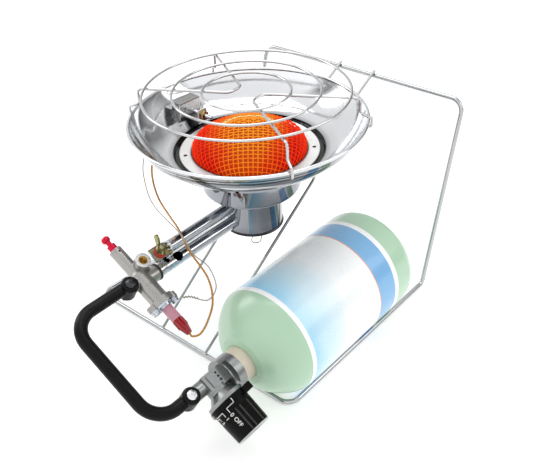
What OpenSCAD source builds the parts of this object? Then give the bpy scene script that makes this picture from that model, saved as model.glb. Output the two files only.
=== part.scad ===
// Portable propane heater: a dish reflector over a round burner on a bent wire stand,
// with a safety valve, a rigid gas pipe, a regulator and a screw-on gas cylinder.
// Millimetres. The floor is z = 0, the burner axis is x = 0, the front bar lies along X.

/* [Wire stand] */
// Diameter of the stand wire
wire_d = 4.5; // [3.5:0.5:6]
// Width of the stand between wire centres
base_w = 244; // [205:1:295]
// Depth of the stand from the front bar to the foot of the uprights
base_d = 210; // [190:1:252]
// Height of the top bar above the base bars
rise = 180.5; // [176:0.5:217]
// How far the top bar leans back behind the foot
lean = 47; // [30:1:57]
// How far the left side turns in towards the back
left_in = 9.3; // [0:0.1:14]
// Bend radius of the stand corners
corner_r = 12; // [8:1:20]
// Bend radius at the foot of the uprights
foot_r = 6; // [5:1:10]
// Diameter of the strut wire
strut_d = 2.8; // [2.4:0.1:3.6]
// Distance between the struts on the front bar
strut_gap = 56; // [50:1:66]

/* [Burner head] */
// Distance of the burner axis behind the front bar
burner_y = 99.6; // [90:0.1:110]
// Height of the reflector's bottom ledge
ledge_z = 162.4; // [158:0.1:170]
// Radius of the reflector opening at the bottom of the dish
dish_hole_r = 67; // [66:0.5:70]
// Radius of the dish just inside the rolled rim
dish_r = 102.5; // [98:0.5:112]
// Depth of the dish from the rim to the ledge
dish_depth = 32.6; // [28:0.2:38]
// Sheet thickness of the reflector and the cups
sheet = 0.8; // [0.6:0.1:1.2]
// Radius of the rolled rim bead
bead_r = 1.6; // [1.2:0.1:2.2]
// Outer radius of the burner flange ring
flange_r = 62.3; // [60:0.1:64.5]
// Radius of the mesh dome
dome_r = 51; // [47:0.5:54]
// Radius of the upper burner cup
cup_r = 44.9; // [42:0.1:48]
// Height of the upper burner cup
cup_h = 28.4; // [24:0.2:33]
// Radius of the tray that closes the upper cup
tray_r = 60; // [57:0.5:62]
// Radius of the mixing cup
mix_r = 27; // [24:0.5:30]
// Height of the mixing cup
mix_h = 38.7; // [36:0.1:44]

/* [Grille] */
// Radii of the three grille rings
ring_radii = [88.9, 63.6, 38.1];
// Diameter of the ring wire
ring_d = 2.3; // [2:0.1:3]
// Diameter of the two bent support wires
hook_d = 2.5; // [2:0.1:3]
// Height of the support wires above the rolled rim
grille_lift = 21.8; // [16:0.2:28]
// Angle of each support leg from the burner's left-right line
leg_angle = 30; // [22:1:38]

/* [Gas train] */
// Outer diameter of the mixer tube
tube_d = 12; // [11:0.5:13]
// Outer diameter of the support arm
arm_d = 11; // [9:0.5:12]
// Distance of the valve axis in front of the front bar
valve_y = 38.5; // [37:0.5:41]
// Diameter of the valve barrel
barrel_d = 17; // [16:0.5:18]
// Travel of the reset button
button_travel = 4; // [2:0.5:4.5]
// Outer diameter of the gas pipe
pipe_d = 11; // [9:0.5:12]
// Distance of the pipe's middle run in front of the front bar
pipe_y = 111; // [104:1:125]
// Bend radius of the gas pipe
pipe_bend = 21; // [17:1:24]
// Diameter of the banjo fittings
banjo_d = 15; // [14:0.5:17]
// Diameter of the regulator knob
knob_d = 32; // [28:0.5:36]
// Length of the regulator knob
knob_l = 30; // [26:0.5:36]

/* [Gas cylinder] */
// Diameter of the cylinder
cyl_d = 100; // [97:0.5:104]
// Distance of the cylinder axis to the right of the burner axis
cyl_x = 90; // [84:0.5:95]
// Distance of the front shoulder behind the front bar
shoulder_y = 14; // [14:0.5:20]
// Length of the straight barrel
barrel_l = 137; // [114:1:164]
// Height of the front dome
dome_h = 38; // [36:0.5:39]
// Knuckle radius of the front dome
knuckle_r = 21; // [16:0.5:21.5]

/* [Clearances] */
// Gap between round parts that rest on each other
touch = 0.05; // [0.03:0.01:0.1]
// Radial gap of a part that slides or turns in its bore
running = 0.08; // [0.05:0.01:0.1]

/* [Hidden] */
$fn = 64;

// Stand
wire_r = wire_d / 2;
base_x = base_w / 2;
back_x = [left_in - base_x, base_x];
top_y = base_d + lean;
top_z = wire_r + rise;
lean_dir = [0, lean, rise] / norm([0, lean, rise]);
corner_stub = 4;
foot_back = foot_r * tan((90 - atan(lean / rise)) / 2) + corner_stub;
top_stub = corner_r + corner_stub;

// Burner head, upwards from the floor
rim_z = ledge_z + dish_depth;
bead_x = dish_r + sheet;
ledge_under = ledge_z - sheet;
gasket_h = 2.2;
tray_top = ledge_under - gasket_h;
tray_h = 4.8;
cup_top = tray_top - tray_h;
cup_bottom = cup_top - cup_h;
mix_bottom = cup_bottom - mix_h;
flange_h = 2;
stud_r = 2;
stud_ring_r = dish_hole_r - 12;
dome_in_r = dome_r - 1.2;
dish_lip_z = ledge_z + 2.8;
dish_bend = 56;
chord_a = atan((rim_z - dish_lip_z) / (dish_r - dish_hole_r));
dish_start = chord_a - dish_bend / 2;
dish_end = chord_a + dish_bend / 2;
dish_arc_r = norm([dish_r - dish_hole_r, rim_z - dish_lip_z]) / (2 * sin((dish_end - dish_start) / 2));
dish_c = [dish_hole_r - dish_arc_r * sin(dish_start), dish_lip_z + dish_arc_r * cos(dish_start)];
tube_z = mix_bottom + 13.5;

// Grille
hook_r = hook_d / 2;
leg_z = rim_z + grille_lift + bead_r - hook_r - 0.2;
ring_z = leg_z + (hook_d + ring_d) / 2 + touch;
leg_in = 15;
leg_out = ring_radii[0] + 8;

// Sensor bracket inside the dish
sensor_a = 176;
sensor_r = 78;
sensor_z = 178;
sensor_r_rear = sensor_r + 6;
probe_r = 2;
strap_r = 60.8;
strap_z = ledge_z + 8.6;
lead_hole_r = 2.6;
earth_hole_r = 2;
wire_offset = 7;
bracket_w = 24;
bracket_l = 13;
bracket_top = ledge_z + 24.2;

// Gas train: s runs along the valve, y as in the world, n is square to both
cyl_r = cyl_d / 2;
tilt = atan((tube_z - cyl_r) / cyl_x);
cyl_s = cyl_x / cos(tilt);
tube_r = tube_d / 2;
tube_front = -22;
arm_s = -10.5;
arm_n = 8;
strip_h = 2.4;
clamp_y = -12.5;
pad_r = 5.5;
port_s = -10.7;
port_y = 5.7 - valve_y;
neck_end = 35.3;
port_top = 14;
port_d = 13.6;
insert_r = 4;
thread_r = 3.3;
button_r = 3.8;
flange_s = 22;
cap_s = flange_s + 5;
collar_s = cap_s + 3;
connector_s = collar_s + 13;
lead_s = connector_s + 15.5;
ear_y = 10.5;
banjo_r = banjo_d / 2;
banjo_h = 16;
banjo_top = 7.5;
banjo_foot = 5;
upper_banjo = [-1.8, -valve_y - 13.9];
lower_banjo = [cyl_s - 4, -77];
leg_1_s = -3.5;
leg_2_s = cyl_s - 4.45;
reg_y = -54;
head_r = 15.5;
head_back = -44;
head_front = -31;
knob_s = cyl_s + head_r + 0.8;
knob_r = knob_d / 2;
flute_n = 9;
spindle_r = 4;
spindle_s = cyl_s + 0.5;

// Gas cylinder
skin = 0.3;
shell_r = cyl_r - skin;
dome_y = shoulder_y - dome_h;
label_back = 134.4;
base_h = 14;
base_knuckle = 14;
base_dent = 4;
base_dent_r = 74;
shell_wall = 1.5;
seat_h = dome_h - 3;
neck_hole_r = 10;
collar_r = 15;
seat_r = collar_r + 1;
valve_r = 12.7;

// The model's origin is the middle of its outline on the floor
side_a = atan(left_in / base_d);
left_edge = corner_r * (1 + sin(side_a)) / cos(side_a) - corner_r - base_x - wire_r;
outline = [[left_edge, cyl_x + cyl_r], [-pipe_y - pipe_d / 2, top_y + wire_r]];
org = [(outline[0][0] + outline[0][1]) / 2, (outline[1][0] + outline[1][1]) / 2];

// Routes of the two loose wires between their fixed ends
lead_d = 1.8;
earth_d = 1.1;
lead_rings = 42;
earth_rings = 38;
lead_route = [[58, -33, 72], [56, -22, 77], [50, -9, 86], [38, -1, 100], [20, -2, 120], [-1, 8, 126],
    [-24, 18, 127], [-44, 26, 131], [-55, 31, 142], [-60, 36, 155], [-72, 53, 161],
    [-92, 84, 167], [-102, 102, 174]];
earth_route = [[33, -18, 88], [45, -10, 85], [44, 2, 91], [33, 6, 104], [28, -5, 122],
    [7, 2, 129], [-38, 14, 134], [-62, 27, 146], [-72, 38, 158], [-90, 66, 165],
    [-103, 92, 172]];

function unit(v) = v / norm(v);
function arc(c, r, a, b, n) = [for (i = [0 : n]) c + r * [cos(a + (b - a) * i / n), sin(a + (b - a) * i / n)]];
function dish_z(r) = dish_c[1] - sqrt(pow(dish_arc_r, 2) - pow(r - dish_c[0], 2));
function polar(r, a, z) = [r * cos(a), burner_y + r * sin(a), z];
function train_point(s, y, n) = [s * cos(tilt) + n * sin(tilt), y, tube_z - s * sin(tilt) + n * cos(tilt)];
function place(p) = [p[0], p[1], p[2]];
function roll(from, to, axis) = atan2(cross(from, to) * axis, from * to);

// Catmull-Rom points of a route and a tube swept along them
function spline(p0, p1, p2, p3, t) = 0.5 * (2 * p1 + (p2 - p0) * t
    + (2 * p0 - 5 * p1 + 4 * p2 - p3) * t * t + (3 * p1 - p0 - 3 * p2 + p3) * t * t * t);
function along(pts, u) = let (last = len(pts) - 1, i = min(floor(u * last), last - 1), t = u * last - i)
    spline(pts[max(i - 1, 0)], pts[i], pts[i + 1], pts[min(i + 2, last)], t);
function route(pts, rings) = [for (i = [0 : rings - 1]) along(pts, i / (rings - 1))];
function headings(pts) = let (last = len(pts) - 1)
    [for (i = [0 : last]) unit(pts[min(i + 1, last)] - pts[max(i - 1, 0)])];
function square_to(v, t) = unit(v - (v * t) * t);
function sides(dirs) = [for (i = 0, s = square_to([0, 0.2, 1], dirs[0]); i < len(dirs);
    i = i + 1, s = i < len(dirs) ? square_to(s, dirs[i]) : s) s];

module placed() translate([-org[0], -org[1], 0]) children();

module on_burner(z) placed() translate([0, burner_y, z]) children();

module on_train(s = 0, y = 0, n = 0) placed()
    translate([0, 0, tube_z]) rotate([0, tilt, 0]) translate([s, y, n]) children();

module on_sensor(r, side, z) on_burner(z) rotate([0, 0, sensor_a]) translate([r, side, 0]) children();

// A cylinder whose axis points along +X or +Y from its base
module along_x(r, l) rotate([0, 90, 0]) cylinder(r = r, h = l);
module along_y(r, l) rotate([-90, 0, 0]) cylinder(r = r, h = l);

module rod(a, b, d) {
    v = b - a;
    translate(a)
        rotate([0, acos(v[2] / norm(v)), atan2(v[1], v[0])])
            cylinder(d = d, h = norm(v));
}

// A run of straight lengths joined by round bends; each bend starts where its length ends,
// and a ball a hair wider than the wire closes each seam
module wire_run(lengths, turns, radii, rolls, d, i = 0) {
    seam = d + 0.05;
    cylinder(d = d, h = lengths[i]);
    if (i > 0) sphere(d = seam);
    if (i < len(turns))
        translate([0, 0, lengths[i]]) rotate([0, 0, rolls[i]]) {
            r = radii[i];
            sphere(d = seam);
            multmatrix([[-1, 0, 0, r], [0, 0, 1, 0], [0, 1, 0, 0]])
                rotate_extrude(angle = turns[i]) translate([r, 0]) circle(d = d);
            translate([r, 0, 0]) rotate([0, turns[i], 0]) translate([-r, 0, 0])
                wire_run(lengths, turns, radii, rolls, d, i + 1);
        }
}

// A round wire through points [x, y, z, bend radius]; the first and last need no radius
module bent_rod(path, d) {
    last = len(path) - 1;
    p = [for (q = path) place(q)];
    dirs = [for (i = [0 : last - 1]) unit(p[i + 1] - p[i])];
    turns = [for (i = [1 : last - 1]) acos(dirs[i - 1] * dirs[i])];
    radii = [for (i = [1 : last - 1]) path[i][3]];
    hinges = [for (i = [1 : last - 1]) unit(cross(dirs[i - 1], dirs[i]))];
    rolls = [for (i = [0 : last - 2]) i == 0 ? 0 : roll(hinges[i - 1], hinges[i], dirs[i])];
    back = concat([0], [for (i = [0 : last - 2]) radii[i] * tan(turns[i] / 2)], [0]);
    lengths = [for (i = [0 : last - 1]) norm(p[i + 1] - p[i]) - back[i] - back[i + 1]];
    z = dirs[0];
    y = hinges[0];
    x = cross(y, z);
    multmatrix([[x[0], y[0], z[0], p[0][0]], [x[1], y[1], z[1], p[0][1]], [x[2], y[2], z[2], p[0][2]]])
        wire_run(lengths, turns, radii, rolls, d);
}

// A plain tube along a loose wire's route
module loose_wire(pts, rings, d) {
    line = route(pts, rings);
    dirs = headings(line);
    up = sides(dirs);
    skin = [for (i = [0 : rings - 1]) for (a = [0 : 45 : 315])
        line[i] + d / 2 * (cos(a) * up[i] + sin(a) * cross(dirs[i], up[i]))];
    walls = [for (i = [0 : rings - 2]) for (k = [0 : 7])
        [i * 8 + k, i * 8 + (k + 1) % 8, (i + 1) * 8 + (k + 1) % 8, (i + 1) * 8 + k]];
    start = [[for (k = [7 : -1 : 0]) k]];
    end = [[for (k = [0 : 7]) (rings - 1) * 8 + k]];
    polyhedron(points = skin, faces = concat(start, walls, end));
}

// ---------- wire stand ----------

module front_bar() color("gainsboro") placed()
    rod([-base_x + top_stub, 0, wire_r], [base_x - top_stub, 0, wire_r], wire_d);

// Where a side's base bar ends short of its foot
function foot_start(side, x) = [x, base_d, wire_r] - foot_back * unit([x - side * base_x, base_d, 0]);

module base_bar(side, x) color("gainsboro") placed()
    bent_rod([[side * (base_x - top_stub), 0, wire_r], [side * base_x, 0, wire_r, corner_r],
        foot_start(side, x)], wire_d);

module upright(side, x) color("gainsboro") placed() {
    top = [0, top_y, top_z] - lean_dir * top_stub;
    bent_rod([foot_start(side, x), [x, base_d, wire_r, foot_r], [x, top[1], top[2]]], wire_d);
}

module top_bar() color("gainsboro") placed() {
    low = [0, top_y, top_z] - lean_dir * top_stub;
    bent_rod([[back_x[0], low[1], low[2]], [back_x[0], top_y, top_z, corner_r],
        [back_x[1], top_y, top_z, corner_r], [back_x[1], low[1], low[2]]], wire_d);
}

// Each strut rises under the cups, turns up beside the burner tray and runs back to the top bar
module strut(front_x, side, top_x) color("silver") placed() {
    r = tray_r + strut_d / 2 + touch;
    jog_x = side * strut_gap * 0.545;
    jog_y = burner_y + sqrt(r * r - jog_x * jog_x);
    jog_z = tray_top - 2.4;
    bar_gap = wire_r + strut_d / 2 + touch;
    front_z = wire_r + bar_gap;
    knee = [top_x, top_y - 29, rim_z - 23.25];
    slope = atan((top_z - knee[2] + bar_gap) / 29);
    bent_rod([[front_x, 0, front_z], [jog_x, jog_y, 118, 6], [jog_x, jog_y, jog_z, 6],
        [knee[0], knee[1], knee[2], 30],
        [top_x, top_y + 1, top_z + bar_gap / cos(slope) + tan(slope)]], strut_d);
}

module left_strut() strut(-4 - strut_gap / 2, -1, -16);
module right_strut() strut(-4 + strut_gap / 2, 1, 24);

// ---------- burner head ----------

// The dish is one sheet: rolled rim, round dish wall, short step and bottom ledge
module reflector_bowl() color("lightsteelblue")
    difference() {
        on_burner(0) {
            rotate_extrude($fn = 96) {
                ledge_in = dome_in_r - 4;
                inner = arc(dish_c, dish_arc_r, dish_start - 90, dish_end - 90, 14);
                outer = arc(dish_c, dish_arc_r + sheet, dish_end - 90, dish_start - 90, 14);
                step = [[dish_hole_r + sheet, ledge_z + 1], [dish_hole_r - 1.2 + sheet, ledge_under]];
                floor_in = [[ledge_in, ledge_under], [ledge_in, ledge_z], [dish_hole_r - 1.2, ledge_z]];
                polygon(concat(inner, outer, step, floor_in, [[dish_hole_r, ledge_z + 1.2]]));
            }
            rotate_extrude($fn = 96) translate([bead_x, rim_z]) circle(r = bead_r);
        }
        on_sensor(73, 0, ledge_z - 2) translate([-4, -6, 0]) cube([7, 12, 12]);
        on_sensor(sensor_r_rear, 0, sensor_z) along_x(lead_hole_r, 14);
        on_sensor(sensor_r_rear, wire_offset, sensor_z) along_x(earth_hole_r, 14);
    }

module burner_cup() color("silver") on_burner(0)
    difference() {
        cup_profile();
        stud_places() translate([0, 0, cup_top - 1]) cylinder(r = stud_r + 0.1, h = 3);
    }

module stud_places()
    for (a = [10 : 90 : 280]) rotate([0, 0, a]) translate([stud_ring_r, 0, 0]) children();

module cup_profile()
    rotate_extrude($fn = 96) {
        wall = cup_r - sheet;
        floor_edge = arc([cup_r - 5, cup_bottom + 5], 5, 270, 360, 6);
        inside = arc([cup_r - 5, cup_bottom + 5], 5 - sheet, 360, 270, 6);
        tray = [[cup_r, cup_top], [tray_r, cup_top], [tray_r, tray_top], [tray_r - sheet, tray_top],
            [tray_r - sheet, cup_top + sheet], [wall, cup_top + sheet]];
        hole = mix_r - 5;
        polygon(concat([[hole, cup_bottom]], floor_edge, tray, inside, [[hole, cup_bottom + sheet]]));
    }

module tray_gasket() color("dimgray") on_burner(tray_top)
    difference() {
        cylinder(r = tray_r - 0.3, h = gasket_h);
        translate([0, 0, -1]) cylinder(r = cup_r + 1, h = gasket_h + 2);
        stud_places() translate([0, 0, -1]) cylinder(r = stud_r + 0.3, h = gasket_h + 2);
    }

module flange_ring() color("whitesmoke") on_burner(ledge_z)
    difference() {
        cylinder(r = flange_r, h = flange_h);
        translate([0, 0, -1]) cylinder(r = dome_r + 0.3, h = flange_h + 2);
        translate([0, 0, -sheet])
            difference() {
                cylinder(r = flange_r - sheet, h = flange_h);
                translate([0, 0, -1]) cylinder(r = dome_r + 0.3 + sheet, h = flange_h + 2);
            }
        for (a = [39, 230])
            rotate([0, 0, a]) translate([57, 0, -1]) cylinder(r = 1.8, h = flange_h + 2);
    }

// Outline of a flat-topped dome: a quarter round edge that runs into a shallow crown
function dome_line(r, edge, a) = concat(arc([r - edge, 2], edge, 0, a, 7),
    let (p = [r - edge + edge * cos(a), 2 + edge * sin(a)], crown = p[0] / cos(a))
        [for (i = [1 : 6]) let (t = a + (90 - a) * i / 6)
            [0, p[1] - crown * sin(a)] + crown * [cos(t), sin(t)]]);

module mesh_dome() color("orangered") on_burner(ledge_z)
    rotate_extrude($fn = 96)
        difference() {
            polygon(concat([[0, 0], [dome_r, 0]],
                [for (p = dome_line(dome_r, 12, 66)) p + [0, flange_h]]));
            polygon(concat([[-1, -1], [dome_r - 1, -1]],
                [for (p = dome_line(dome_r - 1, 11, 66)) p + [0, flange_h]], [[-1, 30]]));
        }

module inner_diffuser() color("orange") on_burner(ledge_z)
    rotate_extrude($fn = 96)
        polygon(concat([[0, 0], [dome_r - 2.2, 0]], [for (p = dome_line(dome_r - 2.2, 10, 66)) p + [0, 1.6]]));

// Weld studs under the ledge, each with its nut under the tray
module flange_studs() color("dimgray") on_burner(0)
    stud_places() {
        translate([0, 0, cup_top - 5]) cylinder(r = stud_r, h = ledge_under - cup_top + 5);
        translate([0, 0, cup_top - 3.2]) cylinder(d = 8, h = 3.2, $fn = 6);
    }

module mixing_cup() color("silver")
    difference() {
        on_burner(mix_bottom) {
            difference() {
                cylinder(r = mix_r, h = mix_h, $fn = 96);
                translate([0, 0, sheet]) cylinder(r = mix_r - sheet, h = mix_h);
            }
            rotate_extrude($fn = 96) translate([mix_r, 1.2]) circle(r = 1.2);
        }
        on_train(0, 60) along_y(tube_r + 0.2, 20);
    }

// A thin spring clip that hangs in a loop below the mixing cup
module cup_tie_wire() color("darkkhaki")
    on_burner(mix_bottom)
        rotate([0, 0, -42])
            translate([mix_r - 2, 0, 0])
                rotate([0, 0, 90])
                    bent_rod([[-4.2, 0, -0.1], [-6, 0, -8.5, 3.5], [2.5, 0, -8.5, 3.5], [4.6, 0, -0.1]], 0.9);

// ---------- grille ----------

module grille_ring(r) rotate_extrude($fn = 96) translate([r, 0]) circle(d = ring_d);

module grille_outer_ring() color("gainsboro") on_burner(ring_z) grille_ring(ring_radii[0]);
module grille_middle_ring() color("gainsboro") on_burner(ring_z) grille_ring(ring_radii[1]);
module grille_inner_ring() color("gainsboro") on_burner(ring_z) grille_ring(ring_radii[2]);

// Two legs meet near the middle; each drops to the rim and hooks round its rolled bead
module support_wire(a) color("gainsboro") placed() {
    hook_x = bead_x + bead_r + hook_r + 0.3;
    top = rim_z + bead_r + hook_r + 1.5;
    low = rim_z - bead_r - hook_r - 0.6;
    stations = [[bead_x + 0.3, low, 0], [hook_x, low, 1.7], [hook_x, top, 2], [leg_out, top + 4, 3],
        [leg_out, leg_z, 4], [leg_in, leg_z, 8]];
    one = [for (q = stations) concat(polar(q[0], a - leg_angle, q[1]), q[2])];
    two = [for (q = stations) concat(polar(q[0], a + leg_angle, q[1]), q[2])];
    bent_rod(concat(one, [for (i = [5 : -1 : 0]) two[i]]), hook_d);
}

module grille_left_wire() support_wire(180);
module grille_right_wire() support_wire(0);

// ---------- heat sensor in the dish ----------

module sensor_bracket() color("white")
    difference() {
        union() {
            front = dish_z(norm([sensor_r + 1.2, bracket_w / 2])) + touch;
            back = dish_z(norm([sensor_r + bracket_l, bracket_w / 2])) + touch;
            on_sensor(sensor_r, -bracket_w / 2, front) cube([1.2, bracket_w, bracket_top - front]);
            on_sensor(sensor_r, -bracket_w / 2, bracket_top - 1) cube([bracket_l, bracket_w, 1]);
            on_sensor(sensor_r + bracket_l - 1, -bracket_w / 2, back) cube([1, bracket_w, bracket_top - back]);
            on_sensor(strap_r, -5, strap_z) cube([sensor_r + 0.6 - strap_r, 10, 1.2]);
            on_sensor(strap_r, -5, strap_z) cube([1.2, 10, sensor_z + 5 - strap_z]);
        }
        on_sensor(strap_r - 1, 0, sensor_z) along_x(probe_r + running, sensor_r + 3 - strap_r);
        on_sensor(sensor_r - 1, 5.5, sensor_z + 2) along_x(1.5, 4);
        on_sensor(sensor_r + bracket_l - 2, 0, sensor_z) along_x(lead_hole_r, 4);
        on_sensor(sensor_r + bracket_l - 2, wire_offset, sensor_z) along_x(earth_hole_r, 4);
    }

module sensor_probe() color("silver")
    on_sensor(dome_r - 1, 0, sensor_z) {
        along_x(probe_r, sensor_r_rear - dome_r + 1);
        sphere(r = probe_r);
    }

module probe_nut() color("goldenrod")
    on_sensor(strap_r - 4, 0, sensor_z)
        rotate([0, 90, 0])
            difference() {
                cylinder(d = 8, h = 4, $fn = 6);
                translate([0, 0, -1]) cylinder(r = probe_r + running, h = 6);
            }

// ---------- mixer tube, arm and clamp ----------

module mixer_tube() color("silver")
    difference() {
        on_train(0, tube_front) along_y(tube_r, burner_y - mix_r + 3 - tube_front);
        on_train(0, tube_front - 1) along_y(tube_r - 1, burner_y - mix_r + 5 - tube_front);
        on_train(0, 0, 0) cylinder(d = 9, h = tube_d);
        on_train(-2, -11, 0) cylinder(d = 5, h = tube_d);
    }

// The arm is round, with its front end pressed flat under the wing nut
module support_arm() color("silver")
    difference() {
        union() {
            on_train(arm_s, -2, arm_n) along_y(arm_d / 2, burner_y - mix_r + 2 + 2);
            on_train(arm_s, 0, arm_n)
                hull() {
                    translate([0, -1.8, 0]) along_y(arm_d / 2, 1, $fn = 32);
                    translate([-6.45, clamp_y + pad_r + 0.3, 0.05 - strip_h / 2]) cube([12.9, 0.1, strip_h - 0.1]);
                }
            on_train(arm_s - 6.5, clamp_y - 8.5, arm_n - strip_h / 2) cube([13, 8.5 + pad_r + 0.7, strip_h]);
        }
        on_train(arm_s, clamp_y, arm_n - 5) cylinder(r = stud_r + running, h = 10);
        on_burner(mix_bottom) cylinder(r = mix_r + touch, h = mix_h, $fn = 96);
    }

module clamp_plate() color("silver")
    difference() {
        on_train(arm_s - 6.5, clamp_y - pad_r, arm_n - strip_h / 2 - 2) cube([13, 2 * pad_r, 2]);
        on_train(arm_s, clamp_y, 0) cylinder(r = stud_r + running, h = 20);
        on_train(0, clamp_y - 8) along_y(tube_r + touch, 16);
    }

module clamp_stud() color("darkkhaki")
    on_train(arm_s, clamp_y, arm_n - strip_h / 2 - 2) {
        translate([0, 0, -2.4]) cylinder(d = 7, h = 2.4, $fn = 6);
        cylinder(r = stud_r, h = strip_h + 2 + 2 + 9);
    }

module fibre_washer() color("firebrick")
    on_train(arm_s, clamp_y, arm_n + strip_h / 2)
        difference() {
            cylinder(r = pad_r, h = 2);
            translate([0, 0, -1]) cylinder(r = stud_r + running, h = 4);
        }

module wing_nut() color("darkkhaki")
    on_train(arm_s, clamp_y, arm_n + strip_h / 2 + 2)
        difference() {
            union() {
                cylinder(r1 = 4.8, r2 = 3.8, h = 5);
                for (side = [-1, 1])
                    hull() {
                        translate([side * 3, 1, 1.5]) rotate([90, 0, 0]) cylinder(r = 1.5, h = 2, $fn = 32);
                        translate([side * 3.4, 1, 4]) rotate([90, 0, 0]) cylinder(r = 1, h = 2, $fn = 32);
                        translate([side * 8.5, 1, 9]) rotate([90, 0, 0]) cylinder(r = 2.4, h = 2, $fn = 32);
                    }
            }
            translate([0, 0, -1]) cylinder(r = stud_r + running, h = 12);
        }

// ---------- safety valve ----------

module valve_body() color("darkgray")
    difference() {
        on_train(0, -valve_y) {
            translate([-neck_end, 0, 0]) along_x(5.8, neck_end - 8);
            translate([-9, 0, 0]) rotate([0, 90, 0]) cylinder(r1 = 5.8, r2 = barrel_d / 2, h = 3);
            translate([-6, 0, 0]) along_x(barrel_d / 2, flange_s + 6);
            translate([flange_s, 0, 0]) valve_flange(5);
            translate([port_s, valve_y + port_y, -6]) cylinder(d = port_d, h = port_top + 6);
            along_y(7, valve_y + tube_front - 2);
            translate([upper_banjo[0], -10, 0]) along_y(6.5, 10);
        }
        on_train(upper_banjo[0], upper_banjo[1], -banjo_h) cylinder(r = banjo_r + touch, h = 2 * banjo_h);
        on_train(-neck_end - 1, -valve_y) along_x(button_r + running, button_travel + 15.3);
        on_train(port_s, port_y, 2) cylinder(r = insert_r, h = port_top);
        on_train(4 - neck_end, -valve_y, 0) cylinder(r = 1, h = 8);
    }

module valve_flange(h) {
    along_x(11.75, h);
    for (side = [-1, 1]) translate([0, side * ear_y, 0]) along_x(4.5, h);
}

module port_insert() color("goldenrod")
    on_train(port_s, port_y, 2)
        difference() {
            cylinder(r = insert_r, h = port_top - 2.3);
            translate([0, 0, 1.5]) cylinder(r = thread_r, h = port_top);
        }

module outlet_seal() color("black")
    on_train(0, tube_front - 2)
        difference() {
            along_y(7.5, 2);
            translate([0, -1, 0]) along_y(3, 4);
        }

module reset_button() color("crimson")
    on_train(-neck_end, -valve_y) {
        translate([-5.7, 0, 0]) along_x(button_r, 17);
        translate([-11, 0, 0]) along_x(2.3, 6);
        translate([-10.2, 0, 0]) rotate([0, -90, 0])
            rotate_extrude() polygon([[0, 0], [3.2, 0], [button_r, 0.8], [button_r, 3.2], [2.8, 4.5], [0, 4.5]]);
    }

module end_cap() color("silver")
    on_train(cap_s, -valve_y) {
        along_x(10.5, 1.6);
        for (side = [-1, 1]) translate([0, side * ear_y, 0]) along_x(4, 1.6);
        along_x(6, 3);
    }

module cap_screws() color("whitesmoke")
    for (side = [-1, 1])
        on_train(cap_s + 1.6, side * ear_y - valve_y)
            difference() {
                along_x(3.4, 2.4);
                translate([1.4, -4, -0.4]) cube([2, 8, 0.8]);
            }

module lead_collar() color("pink")
    on_train(collar_s, -valve_y) along_x(4.8, connector_s - collar_s);

module lead_connector() color("red")
    on_train(connector_s, -valve_y) {
        along_x(4.2, 9);
        translate([9, 0, 0]) rotate([0, 90, 0]) cylinder(r1 = 4.2, r2 = 2.6, h = lead_s - connector_s - 9);
        for (a = [0 : 60 : 300]) rotate([a, 0, 0]) translate([0.6, -0.6, 3]) cube([7.6, 1.2, 1.8]);
    }

// ---------- loose wires ----------

module sensor_lead() color("peru") placed() {
    plug = train_point(lead_s + touch, -valve_y, 0);
    start = train_point(lead_s + 3.5, -valve_y, 0);
    tail = polar(sensor_r_rear + touch, sensor_a, sensor_z);
    out = polar(sensor_r_rear + 10, sensor_a, sensor_z);
    loose_wire(concat([plug, start], lead_route, [out, tail]), lead_rings, lead_d);
}

module earth_wire() color("tan") placed() {
    screw = train_point(cap_s + 2.8, ear_y - valve_y + 3.4 + earth_d / 2, 0);
    side_a = sensor_a + atan(wire_offset / sensor_r);
    tail_r = norm([sensor_r + 1.6, wire_offset]);
    out = polar(tail_r + 13, side_a, sensor_z);
    tail = polar(tail_r, side_a, sensor_z);
    loose_wire(concat([screw], earth_route, [out, tail]), earth_rings, earth_d);
}

// ---------- gas pipe ----------

module gas_pipe() color("black")
    difference() {
        on_train()
            bent_rod([[leg_1_s, upper_banjo[1], 0], [leg_1_s, -pipe_y, 0, pipe_bend],
                [leg_2_s, -pipe_y, 0, pipe_bend], [leg_2_s, lower_banjo[1], 0]], pipe_d);
        for (b = [upper_banjo, lower_banjo])
            on_train(b[0], b[1], -banjo_h) cylinder(r = banjo_r + touch, h = 2 * banjo_h);
    }

module banjo(b) color("black")
    on_train(b[0], b[1], banjo_top - banjo_h)
        difference() {
            rotate_extrude()
                polygon([[0, 0], [banjo_r - 0.8, 0], [banjo_r, 0.8], [banjo_r, banjo_h - 2],
                    [banjo_r - 0.6, banjo_h - 0.6], [banjo_r - 2, banjo_h], [0, banjo_h]]);
            translate([0, 0, -1]) cylinder(r = 3 + running, h = banjo_h + 2);
        }

module upper_banjo() banjo(upper_banjo);
module lower_banjo() banjo(lower_banjo);

module banjo_screws() color("dimgray")
    for (b = [upper_banjo, lower_banjo])
        on_train(b[0], b[1], banjo_top - banjo_h) {
            cylinder(r = 3, h = banjo_h);
            translate([0, 0, -banjo_foot]) cylinder(d = 9.5, h = banjo_foot, $fn = 6);
            translate([0, 0, banjo_h])
                difference() {
                    rotate_extrude() polygon([[0, 0], [4.2, 0], [4.2, 0.6], [3.4, 1.6], [1.8, 2.2], [0, 2.2]]);
                    for (a = [20, 110]) rotate([0, 0, a]) translate([-2.4, -0.35, 1.2]) cube([4.8, 0.7, 2]);
                }
        }

// ---------- regulator ----------

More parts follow.
